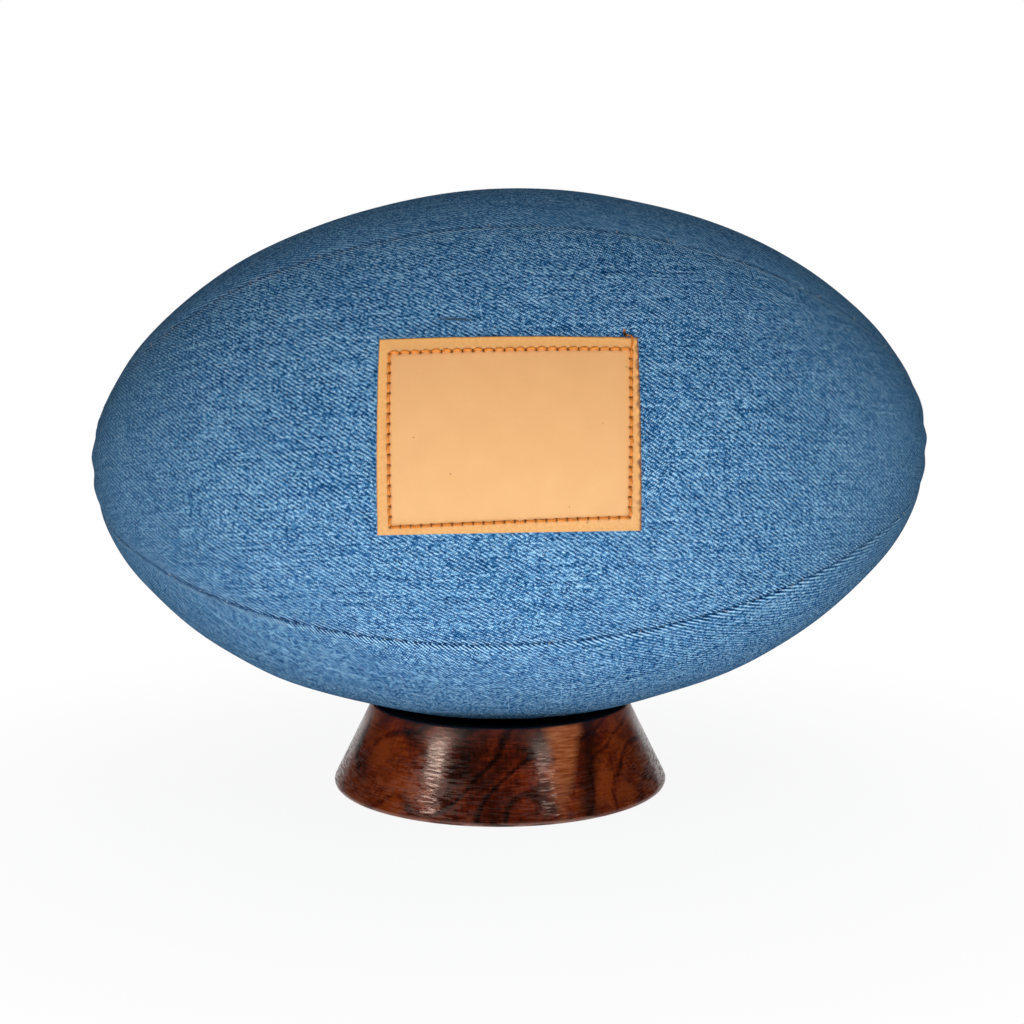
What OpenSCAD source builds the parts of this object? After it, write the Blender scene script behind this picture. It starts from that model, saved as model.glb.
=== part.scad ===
/* [Ball] */
// Length of the ball from point to point
ball_len = 290; // [270:1:310]
// Diameter of the ball at its middle
ball_d = 185; // [170:1:200]
// Radius of the long arc from the middle towards each point
side_r = 185; // [172:1:220]
// How far the right point sits above level, in degrees
ball_tilt = 1.9; // [0:0.1:4]
// How far the front panel is rolled upwards, in degrees
ball_roll = 9.4; // [-20:0.1:20]

/* [Cover] */
// Thickness of the denim
denim_t = 1; // [0.7:0.1:1.5]
// Width of the turned-in edge along each seam, at the ball's middle
hem_w = 5; // [3:0.5:9]
// Length of doubled denim at each point of the ball
point_hem = 12; // [6:1:25]
// Width of the seam groove at the ball's middle
seam_gap = 0.4; // [0.2:0.05:0.45]
// Thickness of the canvas lining
lining_t = 0.8; // [0.5:0.1:1.2]
// Room that the glue takes between two layers
glue_gap = 0.1; // [0.05:0.05:0.2]

/* [Seam thread] */
// Diameter of the thread in the seams
thread_d = 0.5; // [0.45:0.05:0.9]
// Clearance under a stitch
thread_clear = 0.03; // [0.02:0.01:0.1]
// Distance between two stitches in a seam
seam_pitch = 4.5; // [3.5:0.1:7]
// Length of thread that shows in one seam stitch
seam_stitch = 3.2; // [2:0.1:3.4]
// Length of the seam that is closed by hand
closing_len = 90; // [40:5:140]
// Distance between the closing stitches
closing_pitch = 4; // [3:0.5:8]
// Reach of one closing stitch across the seam
closing_reach = 2.6; // [1.8:0.1:4]
// Slant of the closing stitches, in degrees
closing_slant = 14; // [0:1:30]

/* [Bladder and valve] */
// Wall of the rubber bladder
bladder_t = 0.8; // [0.5:0.1:1.5]
// Diameter of the valve stem in the cover
stem_d = 9; // [7:0.5:12]
// Clearance round the valve stem
stem_clear = 0.2; // [0.1:0.05:0.5]
// Diameter of the valve flange inside the bladder
flange_d = 24; // [18:1:32]
// Thickness of the valve flange
flange_t = 1.2; // [0.8:0.1:2]
// Diameter of the plug in the valve
plug_d = 5; // [3:0.5:6]
// Clearance round the plug
plug_clear = 0.05; // [0.02:0.01:0.1]
// Width of the funnel that leads the needle into the plug
funnel_d = 2; // [1:0.1:2.5]
// Depth of that funnel
funnel_h = 1; // [0.5:0.1:2]
// Width of the reinforcing ring round the flange
backing_w = 6; // [3:0.5:10]
// Thickness of the reinforcing ring
backing_t = 0.8; // [0.5:0.1:1.5]

/* [Leather patch] */
// Width of the patch along the ball
patch_w = 77; // [60:1:100]
// Height of the patch round the ball
patch_h = 58; // [40:1:70]
// Thickness of the leather
patch_t = 1.6; // [1:0.1:2.5]
// Place of the patch along the ball
patch_along = 1.4; // [-10:0.1:10]
// How far the patch sits below the middle of its panel
patch_drop = 3.5; // [-10:0.1:10]
// Turn of the patch against the ball's length, in degrees
patch_turn = -1.2; // [-5:0.1:5]
// Distance from the patch's edge to its stitching
stitch_inset = 3.4; // [2:0.1:6]
// Distance between two needle holes
stitch_pitch = 3; // [2.5:0.1:5]
// Length of thread that shows between two needle holes
stitch_len = 2.1; // [1.5:0.1:2.3]
// Diameter of the waxed thread
waxed_d = 0.85; // [0.5:0.05:1.2]

/* [Stand] */
// Diameter of the stand at the bottom
base_d = 121; // [105:0.5:140]
// Diameter of the stand at its rim
rim_d = 91.5; // [80:0.5:100]
// Height of the stand
stand_h = 28.8; // [24:0.2:45]
// Broken edge round the bottom
base_edge = 0.8; // [0.3:0.1:2]
// Width of the bare wood round the felt
lip_w = 1; // [0.6:0.1:3]
// Thickness of the felt in the seat
felt_t = 1.2; // [0.6:0.1:2.5]
// Clearance between the ball and the felt
seat_clear = 0.3; // [0.2:0.05:0.6]

/* [Hidden] */
$fn = 180;

// Four-centre oval of the ball: two side arcs and two end arcs that share tangents
half_len = ball_len / 2;
half_d = ball_d / 2;
end_r = (2 * side_r * half_d - half_len * half_len - half_d * half_d) / (2 * (side_r - half_len));
side_drop = side_r - half_d;
end_along = half_len - end_r;
blend_angle = atan2(end_along, side_drop);

// Depth of each layer below the outside of the denim
lining_depth = denim_t + glue_gap;
cover_depth = max(2 * denim_t, lining_depth + lining_t);
bladder_depth = cover_depth + glue_gap;
flange_depth = bladder_depth + bladder_t + glue_gap;
backing_depth = flange_depth + flange_t + glue_gap;
stem_depth = glue_gap;
plug_depth = 2 * glue_gap;

// Angles that the seam groove and the turned edges take up round the ball
seam_angle = arc_angle(seam_gap / 2, half_d);
hem_angle = seam_angle + arc_angle(hem_w, half_d);
lining_angle = hem_angle + arc_angle(glue_gap, half_d);
pocket_half = half_len - point_hem;
lining_half = pocket_half - glue_gap;

// Half of a seam's length, on its side arc and then on its end arc
side_run = side_r * blend_angle * PI / 180;
end_run = end_r * (90 - blend_angle) * PI / 180;

// Seat: felt and dish share the centre of the ball's lower side arc
felt_r = rim_d / 2 - lip_w;
seat_r = side_r + seat_clear;
dish_r = seat_r + felt_t + glue_gap;
arc_z = stand_h + sqrt(seat_r * seat_r - felt_r * felt_r);

// Rolls that carry each panel and each seam round the ball
front_roll = 135 - ball_roll;
top_roll = 45 - ball_roll;
back_roll = -45 - ball_roll;
bottom_roll = -135 - ball_roll;

// Room to cut with, larger than any section of the ball
reach = ball_len + ball_d;

// Degrees that a length takes up on an arc
function arc_angle(length, radius) = length / radius * 180 / PI;
// Straight span of an arc of a given length
function chord(length, radius) = 2 * radius * sin(arc_angle(length, radius) / 2);
// Radius of the ball at an angle along its side arc
function girth_r(angle) = side_r * cos(angle) - side_drop;
// Radius of the ball at a length along a seam from its middle
function seam_r(along) = abs(along) < side_run
    ? girth_r(arc_angle(along, side_r))
    : end_r * cos(blend_angle + arc_angle(abs(along) - side_run, end_r));
// Height at which a stitch rests on both edges of the groove
function thread_lift(radius) =
    sqrt(max(0, pow(thread_d / 2, 2) - pow(seam_gap / 2 * radius / half_d, 2))) + thread_clear;

// Carries the ball, modelled about its own middle, to its place on the stand
module on_stand() {
    translate([0, 0, arc_z]) rotate([0, -ball_tilt, 0]) translate([0, 0, -side_drop]) children();
}

// Half of the oval, a given depth below the outside, beside the axis of revolution
module half_oval(depth) {
    blend_along = end_along + (end_r - depth) * sin(blend_angle);
    intersection() {
        translate([-side_drop, 0]) circle(side_r - depth);
        translate([0, -blend_along]) square([reach, 2 * blend_along]);
    }
    for (side = [0, 1])
        mirror([0, side])
            intersection() {
                translate([0, end_along]) circle(end_r - depth);
                translate([0, blend_along]) square(reach);
            }
}

// Solid of revolution about the ball's length
module oval_solid(depth) {
    rotate([0, 90, 0]) rotate_extrude() half_oval(depth);
}

// Layer of the ball between two depths
module oval_shell(outer, inner) {
    rotate([0, 90, 0])
        rotate_extrude()
            difference() {
                half_oval(outer);
                half_oval(inner);
            }
}

// Quarter turn of a layer about the ball's length, clear of both seams by an angle,
// and cut square near the points
module quarter(outer, inner, clear, half) {
    rotate([0, 90, 0])
        rotate_extrude(angle = 90 - 2 * clear, start = 90 + clear)
            intersection() {
                difference() {
                    half_oval(outer);
                    half_oval(inner);
                }
                translate([0, -half]) square([reach, 2 * half]);
            }
}

// Frame on the ball's skin: -Y points outwards, X runs along the ball
module on_skin(along, roll) {
    rotate([-roll, 0, 0])
        translate([0, side_drop, 0])
            rotate([0, 0, arc_angle(along, side_r)])
                translate([0, -side_r, 0])
                    children();
}

// Denim quarter with its edges turned in along both seams and at the points
module panel(roll) {
    color("steelblue")
        on_stand()
            rotate([roll, 0, 0])
                difference() {
                    quarter(0, cover_depth, seam_angle, reach);
                    quarter(denim_t, cover_depth + denim_t, hem_angle, pocket_half);
                }
}

// Canvas quarter that stiffens a panel inside its turned edges
module lining(roll) {
    color("beige")
        on_stand()
            rotate([roll, 0, 0])
                quarter(lining_depth, lining_depth + lining_t, lining_angle, lining_half);
}

// Frame in a seam at a length from its middle: X runs along the seam, Y points outwards
module in_seam(along) {
    side = along < 0 ? -1 : 1;
    past_blend = abs(along) - side_run;
    if (past_blend < 0)
        translate([0, -side_drop, 0])
            rotate([0, 0, -arc_angle(along, side_r)])
                translate([0, side_r, 0])
                    children();
    else
        translate([side * end_along, 0, 0])
            rotate([0, 0, -side * (blend_angle + arc_angle(past_blend, end_r))])
                translate([0, end_r, 0])
                    children();
}

// Stitches that show in one seam, each as deep as the groove lets it lie, with any open length left out
module seam_thread(roll, open_len = 0) {
    count = floor((2 * (side_run + end_run) - seam_pitch) / seam_pitch);
    color("midnightblue")
        on_stand()
            rotate([roll, 0, 0])
                for (i = [0 : count - 1]) {
                    along = (i - (count - 1) / 2) * seam_pitch;
                    if (open_len == 0 || abs(along) > (open_len + seam_pitch) / 2)
                        in_seam(along)
                            translate([0, thread_lift(seam_r(along)), 0])
                                rotate([0, 90, 0])
                                    cylinder(d = thread_d, h = seam_stitch, center = true, $fn = 16);
                }
}

// Round bar along the axis of the valve, in the middle of the back panel
module valve_bar(diameter, length) {
    on_skin(0, ball_roll + 180) rotate([90, 0, 0]) cylinder(d = diameter, h = length, center = true);
}

// Hole that the valve stem passes through
module valve_hole() {
    on_stand() valve_bar(stem_d + 2 * stem_clear, half_d);
}

module front_panel() { panel(front_roll); }
module top_panel() { panel(top_roll); }
module bottom_panel() { panel(bottom_roll); }
module front_lining() { lining(front_roll); }
module top_lining() { lining(top_roll); }
module bottom_lining() { lining(bottom_roll); }
module front_top_thread() { seam_thread(front_roll); }
module back_top_thread() { seam_thread(top_roll, closing_len); }
module back_bottom_thread() { seam_thread(back_roll); }
module front_bottom_thread() { seam_thread(bottom_roll); }

module back_panel() {
    color("steelblue")
        difference() {
            panel(back_roll);
            valve_hole();
        }
}

module back_lining() {
    color("beige")
        difference() {
            lining(back_roll);
            valve_hole();
        }
}

// Slanted stitches across the middle of the upper back seam, where the cover was closed
module closing_thread() {
    count = floor(closing_len / closing_pitch);
    seam_roll = 180 - top_roll;
    color("midnightblue")
        on_stand()
            for (i = [0 : count - 1])
                on_skin((i - (count - 1) / 2) * closing_pitch, seam_roll)
                    translate([0, -thread_d / 2 - thread_clear, 0])
                        rotate([0, closing_slant, 0])
                            cylinder(d = thread_d, h = closing_reach, center = true, $fn = 16);
}

module bladder() {
    color("dimgray")
        difference() {
            on_stand() oval_shell(bladder_depth, bladder_depth + bladder_t);
            valve_hole();
        }
}

// Moulded rubber valve: a flange inside the bladder and a stem up to the denim
module valve_body() {
    color([0.12, 0.12, 0.13])
        on_stand()
            difference() {
                intersection() {
                    union() {
                        oval_shell(flange_depth, flange_depth + flange_t);
                        valve_bar(stem_d, 2 * flange_depth + flange_t);
                    }
                    oval_solid(stem_depth);
                    valve_bar(flange_d, half_d);
                }
                valve_bar(plug_d + 2 * plug_clear, half_d);
            }
}

// Self-sealing plug in the stem, with a funnel that leads the needle in
module valve_plug() {
    plug_len = flange_depth + flange_t - plug_depth;
    color([0.2, 0.2, 0.21])
        on_stand()
            on_skin(0, ball_roll + 180)
                translate([0, plug_depth, 0])
                    rotate([-90, 0, 0])
                        difference() {
                            cylinder(d = plug_d, h = plug_len);
                            cylinder(d1 = funnel_d, d2 = 0, h = funnel_h);
                        }
}

// Rubberised ring that backs the valve flange inside the bladder
module valve_backing() {
    color("gray")
        on_stand()
            difference() {
                intersection() {
                    oval_shell(backing_depth, backing_depth + backing_t);
                    valve_bar(flange_d + 2 * backing_w, half_d);
                }
                valve_bar(stem_d, 2 * half_d);
            }
}

// Frame at the middle of the leather patch
module on_patch() {
    on_skin(patch_along, ball_roll - arc_angle(patch_drop, half_d)) rotate([0, -patch_turn, 0]) children();
}

// Leather rectangle laid on the front panel
module leather_patch() {
    span = chord(patch_w, side_r);
    rise = chord(patch_h, half_d);
    color("burlywood")
        on_stand()
            intersection() {
                oval_shell(-glue_gap - patch_t, -glue_gap);
                on_patch() translate([-span / 2, -half_d / 2, -rise / 2]) cube([span, half_d, rise]);
            }
}

// One stitch on the leather, at a place measured along and round from the patch's middle
module patch_stitch(along, around, upright) {
    turned_along = patch_along + along * cos(patch_turn) - around * sin(patch_turn);
    turned_around = along * sin(patch_turn) + around * cos(patch_turn) - patch_drop;
    roll = ball_roll + arc_angle(turned_around, girth_r(arc_angle(turned_along, side_r)));
    on_skin(turned_along, roll)
        translate([0, -glue_gap - patch_t - waxed_d / 2 - thread_clear, 0])
            rotate([0, -patch_turn + (upright ? 0 : 90), 0])
                cylinder(d = waxed_d, h = stitch_len, center = true, $fn = 16);
}

// Waxed stitches round the edge of the patch
module patch_thread() {
    row_w = patch_w - 2 * stitch_inset;
    row_h = patch_h - 2 * stitch_inset;
    across = floor(row_w / stitch_pitch);
    up = floor(row_h / stitch_pitch);
    color("chocolate")
        on_stand()
            for (side = [-1, 1]) {
                for (i = [0 : across - 1])
                    patch_stitch((i - (across - 1) / 2) * row_w / across, side * row_h / 2, false);
                for (i = [0 : up - 1])
                    patch_stitch(side * row_w / 2, (i - (up - 1) / 2) * row_h / up, true);
            }
}

// Turned hardwood stand with a dished seat
module stand_body() {
    slope = (base_d - rim_d) / 2 / stand_h;
    color("saddlebrown")
        rotate_extrude()
            difference() {
                polygon([
                    [0, 0],
                    [base_d / 2 - base_edge, 0],
                    [base_d / 2 - slope * base_edge, base_edge],
                    [rim_d / 2, stand_h],
                    [0, stand_h]
                ]);
                intersection() {
                    translate([0, arc_z]) circle(dish_r);
                    square([felt_r, 2 * stand_h]);
                }
            }
}

// Felt lining glued into the dish
module seat_felt() {
    color([0.07, 0.07, 0.08])
        rotate_extrude()
            intersection() {
                translate([0, arc_z])
                    difference() {
                        circle(seat_r + felt_t);
                        circle(seat_r);
                    }
                square([felt_r - glue_gap, 2 * stand_h]);
            }
}

front_panel();
top_panel();
back_panel();
bottom_panel();
front_lining();
top_lining();
back_lining();
bottom_lining();
front_top_thread();
front_bottom_thread();
back_top_thread();
back_bottom_thread();
closing_thread();
bladder();
valve_body();
valve_plug();
valve_backing();
leather_patch();
patch_thread();
stand_body();
seat_felt();
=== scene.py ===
import math

import bpy
import numpy as np
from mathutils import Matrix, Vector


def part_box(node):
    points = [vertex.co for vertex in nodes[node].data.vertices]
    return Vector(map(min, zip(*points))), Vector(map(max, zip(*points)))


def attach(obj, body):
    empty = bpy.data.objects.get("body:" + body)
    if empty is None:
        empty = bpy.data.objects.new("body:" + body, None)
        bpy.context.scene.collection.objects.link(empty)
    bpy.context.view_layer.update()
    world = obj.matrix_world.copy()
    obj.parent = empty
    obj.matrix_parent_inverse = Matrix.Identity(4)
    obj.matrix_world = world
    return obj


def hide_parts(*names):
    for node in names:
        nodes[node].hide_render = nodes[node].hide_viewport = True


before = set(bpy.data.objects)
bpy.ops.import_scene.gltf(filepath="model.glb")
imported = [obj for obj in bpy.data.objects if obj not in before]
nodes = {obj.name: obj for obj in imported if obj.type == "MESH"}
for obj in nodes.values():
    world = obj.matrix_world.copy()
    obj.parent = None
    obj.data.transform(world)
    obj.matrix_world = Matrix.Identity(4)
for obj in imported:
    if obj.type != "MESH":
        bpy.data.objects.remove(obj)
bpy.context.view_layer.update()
mm = 0.001
fullTurn = 2 * math.pi
print("frame loaded with", len(nodes), "nodes")


# sRGB hex value to the linear colour that a shader takes
def linear(hexColour):
    channels = np.array([int(hexColour[i:i + 2], 16) for i in (1, 3, 5)]) / 255
    curve = np.where(channels > 0.04045, ((channels + 0.055) / 1.055) ** 2.4, channels / 12.92)
    return (*curve.tolist(), 1.0)


# adds a node with its settings; an input takes a number, a colour, or the node or socket that feeds it
def addNode(tree, kind, inputs, stops=(), **settings):
    node = tree.nodes.new("ShaderNode" + kind)
    for name, value in settings.items():
        setattr(node, name, value)
    for socket, value in inputs.items():
        source = value.outputs[0] if isinstance(value, bpy.types.Node) else value
        if isinstance(source, bpy.types.NodeSocket):
            tree.links.new(source, node.inputs[socket])
        else:
            node.inputs[socket].default_value = source
    for stop in stops[2:]:
        node.color_ramp.elements.new(stop[0])
    for element, (position, hexColour) in zip(node.color_ramp.elements if stops else (), stops):
        element.position = position
        element.color = linear(hexColour)
    return node


# empty node tree of a new material
def newTree(name):
    material = bpy.data.materials.new(name)
    material.use_nodes = True
    material.node_tree.nodes.clear()
    return material, material.node_tree


# Camera

# the photograph's viewpoint, found from the ball's and the stand's outlines
camera = {
    "place": (8.7 * mm, -511 * mm, 146.9 * mm),
    "downDegrees": 5.695,
    "turnDegrees": 0.5,
    "lens": 50.87,
    "sensor": 36,
    "clipStart": 10 * mm,
}
cameraData = bpy.data.cameras.new("camera")
cameraData.lens = camera["lens"]
cameraData.sensor_width = camera["sensor"]
cameraData.clip_start = camera["clipStart"]
cameraObject = bpy.data.objects.new("camera", cameraData)
cameraObject.location = camera["place"]
cameraObject.rotation_euler = np.radians((90 - camera["downDegrees"], 0, camera["turnDegrees"]))
bpy.context.scene.collection.objects.link(cameraObject)
bpy.context.scene.camera = cameraObject
bpy.context.scene.view_settings.view_transform = "Standard"
print("camera placed")


# Surfaces

# puts arrays of points and faces into a mesh that rides on a body; faces are turned outwards by their volume
def addPiece(name, points, faces, material, body, uv=None, marks=None):
    first = np.concatenate([f[:, [0, i, i + 1]] for f in faces for i in range(1, f.shape[1] - 1)])
    a, b, c = (points[first[:, i]] for i in range(3))
    if np.einsum("ij,ij->", a, np.cross(b, c)) < 0:
        faces = [f[:, ::-1] for f in faces]
    used = np.unique(np.concatenate([f.ravel() for f in faces]))
    place = np.zeros(len(points), int)
    place[used] = np.arange(len(used))
    mesh = bpy.data.meshes.new(name)
    mesh.from_pydata(points[used].tolist(), [], [row for f in faces for row in place[f].tolist()])
    corners = np.zeros(len(mesh.loops), int)
    mesh.loops.foreach_get("vertex_index", corners)
    if uv is not None:
        layer = mesh.uv_layers.new(name="cloth")
        layer.uv.foreach_set("vector", uv[used][corners].astype(np.float32).ravel())
    for mark, values in (marks or {}).items():
        layer = mesh.attributes.new(mark, "FLOAT", "POINT")
        layer.data.foreach_set("value", values[used].astype(np.float32))
    mesh.shade_smooth()
    piece = bpy.data.objects.new(name, mesh)
    bpy.context.scene.collection.objects.link(piece)
    mesh.materials.append(material)
    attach(piece, body)
    return piece


# smooth relief about 0: a sum of seeded cosine waves of about one wavelength, over two lengths
def relief(seed, wavelength, a, b, waves=14):
    random = np.random.default_rng(seed)
    total = 0
    for wave in range(waves):
        heading = random.uniform(0, fullTurn)
        pace = fullTurn / wavelength * random.uniform(0.6, 1.6)
        shift = random.uniform(0, fullTurn)
        total = total + np.cos(pace * (a * math.cos(heading) + b * math.sin(heading)) + shift)
    return total / math.sqrt(waves)


# faces of a grid of numbered points, with the second way closed into a ring where it is asked for
def gridFaces(number, ring=False):
    beside = np.roll(number, -1, axis=1)
    here, there = (number, beside) if ring else (number[:, :-1], beside[:, :-1])
    return np.stack([here[:-1], there[:-1], there[1:], here[1:]], -1).reshape(-1, 4)


# round strands: rings of a radius carried along many paths at once, each closed by its end rings
def strands(paths, outward, radius, sides):
    count, rings = paths.shape[:2]
    radius = np.broadcast_to(radius, (count, rings))
    tangent = np.gradient(paths, axis=1)
    tangent /= np.linalg.norm(tangent, axis=-1, keepdims=True)
    side = np.cross(tangent, outward)
    side /= np.linalg.norm(side, axis=-1, keepdims=True)
    lift = np.cross(side, tangent)
    turn = np.arange(sides) * fullTurn / sides
    spoke = np.cos(turn)[:, None] * lift[:, :, None] + np.sin(turn)[:, None] * side[:, :, None]
    points = paths[:, :, None] + radius[:, :, None, None] * spoke
    number = np.arange(count * rings * sides).reshape(count, rings, sides)
    beside = np.roll(number, -1, axis=2)
    walls = np.stack([number[:, :-1], beside[:, :-1], beside[:, 1:], number[:, 1:]], -1).reshape(-1, 4)
    caps = np.concatenate([number[:, 0, ::-1], number[:, -1]])
    run = np.cumsum(np.linalg.norm(np.diff(paths, axis=1, prepend=paths[:, :1]), axis=-1), axis=1)
    along = np.repeat(run[:, :, None], sides, axis=2) / mm
    around = np.broadcast_to(turn / fullTurn, along.shape)
    uv = np.stack([along, around], -1).reshape(-1, 2)
    return points.reshape(-1, 3), [walls, caps], uv


# profile of radius and height turned about the upright axis, with a point at each end of the axis
def turned(profile, segments):
    radius, height = profile[1:-1].T
    turn = np.arange(segments) * fullTurn / segments
    ring = np.stack(np.broadcast_arrays(
        radius[:, None] * np.sin(turn), -radius[:, None] * np.cos(turn), height[:, None]), -1)
    points = np.concatenate([ring.reshape(-1, 3), [[0, 0, profile[0, 1]], [0, 0, profile[-1, 1]]]])
    number = np.arange(len(radius) * segments).reshape(len(radius), segments)
    start, end = len(points) - 2, len(points) - 1
    fans = [np.stack([np.full(segments, pole), row, np.roll(row, -1)], -1)
            for pole, row in ((start, number[0, ::-1]), (end, number[-1]))]
    return points, [gridFaces(number, ring=True), *fans]


# direction in a profile's plane, from outwards round to up
def direction(degrees):
    angle = np.radians(degrees)
    return np.stack([np.cos(angle), np.sin(angle)], -1)


# round corner of a profile: an arc of some points between two angles about a centre
def arc(centre, radius, fromDegrees, toDegrees, count):
    return centre + radius * direction(np.linspace(fromDegrees, toDegrees, count))


# smooth step from 0 to 1 between two values
def ease(value, start, end):
    t = np.clip((value - start) / (end - start), 0, 1)
    return t * t * (3 - 2 * t)


# bell of height 1 at a place, that dies out over a reach on both sides
def bell(value, place, reach):
    return np.exp(-((value - place) / reach) ** 2)


# Ball

# four-centre oval: long side arcs that meet round end arcs on shared tangents
ball = {
    "length": 290 * mm,
    "diameter": 185 * mm,
    "sideRadius": 185 * mm,
    "tiltDegrees": 1.9,
    "rollDegrees": 9.4,
}
halfLength = ball["length"] / 2
halfDiameter = ball["diameter"] / 2
sideRadius = ball["sideRadius"]
endRadius = (2 * sideRadius * halfDiameter - halfLength ** 2 - halfDiameter ** 2) / (
    2 * (sideRadius - halfLength))
sideDrop = sideRadius - halfDiameter
endAlong = halfLength - endRadius
blendAngle = math.atan2(endAlong, sideDrop)
sideRun = sideRadius * blendAngle
seamHalf = sideRun + endRadius * (math.pi / 2 - blendAngle)
bladderLow, bladderHigh = (np.array(corner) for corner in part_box("bladder"))
ballCentre = (bladderLow + bladderHigh) / 2
tilt = math.radians(ball["tiltDegrees"])
ballTurn = np.array([[math.cos(tilt), 0, -math.sin(tilt)], [0, 1, 0], [math.sin(tilt), 0, math.cos(tilt)]])


# meridian by arc length from the middle: place along the axis, radius, and the outward normal's two parts
def meridian(along):
    past = np.abs(along) - sideRun
    onSide = past < 0
    angle = np.where(onSide, np.abs(along) / sideRadius, blendAngle + past / endRadius)
    bow = np.where(onSide, sideRadius, endRadius)
    x = np.sign(along) * (np.where(onSide, 0, endAlong) + bow * np.sin(angle))
    r = bow * np.cos(angle) - np.where(onSide, sideDrop, 0)
    return x, r, np.sign(along) * np.sin(angle), np.cos(angle)


# the sewn cover is fuller than a true oval under its ends, clear of the dish, and on its shoulders
fullness = {
    "lowerLeft": 2.4 * mm,
    "lowerRight": 1.55 * mm,
    "shoulder": 1.1 * mm,
    "crown": -0.5 * mm,
    "dishClear": 46 * mm,
    "lowerFull": 88 * mm,
    "shoulderStart": 40 * mm,
    "shoulderFull": 98 * mm,
    "endStart": 108 * mm,
    "endStop": 160 * mm,
    "pinch": 0.9 * mm,
    "pinchPlace": 150 * mm,
    "pinchReach": 11 * mm,
}


# height of that fullness: grows away from the middle, dies out before the points and fades round to the
# front; above each point the cover is drawn in a little
def fullHeight(along, up):
    away = np.abs(along)
    towardsPoint = 1 - ease(away, fullness["endStart"], fullness["endStop"])
    under = np.where(along < 0, fullness["lowerLeft"], fullness["lowerRight"])
    under = under * ease(away, fullness["dishClear"], fullness["lowerFull"]) * towardsPoint
    shoulder = ease(away, fullness["shoulderStart"], fullness["shoulderFull"])
    over = (fullness["shoulder"] * shoulder + fullness["crown"] * (1 - shoulder)) * towardsPoint
    over = over - fullness["pinch"] * bell(away, fullness["pinchPlace"], fullness["pinchReach"])
    side = np.sin(up)
    return under * np.clip(-side, 0, 1) ** 2 + over * np.clip(side, 0, 1) ** 2


# point on the ball: arc length along it, angle up from the front, and height above the skin
def onBall(along, up, height):
    x, r, outX, outR = meridian(along)
    rise = height + fullHeight(along, up)
    reach = r + rise * outR
    local = np.stack(np.broadcast_arrays(x + rise * outX, -reach * np.cos(up), reach * np.sin(up)), -1)
    return ballCentre + local @ ballTurn.T


# outward direction of the skin there
def offBall(along, up):
    outX, outR = meridian(along)[2:]
    local = np.stack(np.broadcast_arrays(outX, -outR * np.cos(up), outR * np.sin(up)), -1)
    return local @ ballTurn.T


# Finishes

# indigo denim, a 3/1 twill washed until its ridges faded: pale broken diagonals, dark valleys, yarn streaks;
# lengths in millimetres
denim = {
    "endPitch": 0.355,  # between warp yarns
    "pickPitch": 0.505,  # between weft yarns
    "weftSkew": 0.1,  # lean of the weft
    "repeat": 4,  # yarns in one repeat of the twill
    "crestPower": 2.2,  # narrows the ridges
    "ridgeHeight": 0.2,
    "ridgeRun": 1.6,  # length in which a ridge fades and comes back
    "ridgeFaint": 0.3,
    "ridgeBright": 1.7,
    "ridgeApart": 7.13,  # step in the noise from one ridge to the next
    "yarnApart": 5.71,  # step in the noise from one yarn to the next
    "streakLength": 24,
    "slubLength": 14,
    "slubWidth": 0.9,
    "mottle": 4.5,
    "fade": 38,
    "wander": 16,
    "wanderYarns": 3,  # how far the stretch bends the ridges
    "middleTone": 0.48,
    "shares": {  # weight in the depth of colour, and mean
        "ridge": (0.38, 0.36),
        "bead": (0.28, 0),
        "knot": (0.2, 0),
        "run": (0.12, 0.5),
        "crossing": (0.9, 0.5),
        "warp": (0.65, 0.5),
        "slub": (0.45, 0.5),
        "weft": (0.25, 0.5),
        "mottle": (0.15, 0.5),
        "fade": (0.2, 0.5),
    },
    "rubGain": 0.6,
    "rubStart": -0.08,
    "pitLength": 1.9,
    "pitShallow": -0.1,
    "pitDeep": -1.0,
    "pitTooth": 0.3,
    "softStart": 84,
    "softFull": 145,
    "softShare": 0.58,
    "knotLength": 8,
    "knotWidth": 0.75,
    "knotDegrees": -6,
    "knotCore": 0.3,
    "knotShare": 0.85,
    "colours": ((0.0, "#0A294F"), (0.2, "#154475"), (0.5, "#2C689B"), (0.8, "#5B9AC7"), (1.0, "#ACD1E4")),
    "meanColour": "#4B7395",
    "knotColour": "#3B4A58",
}


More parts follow.
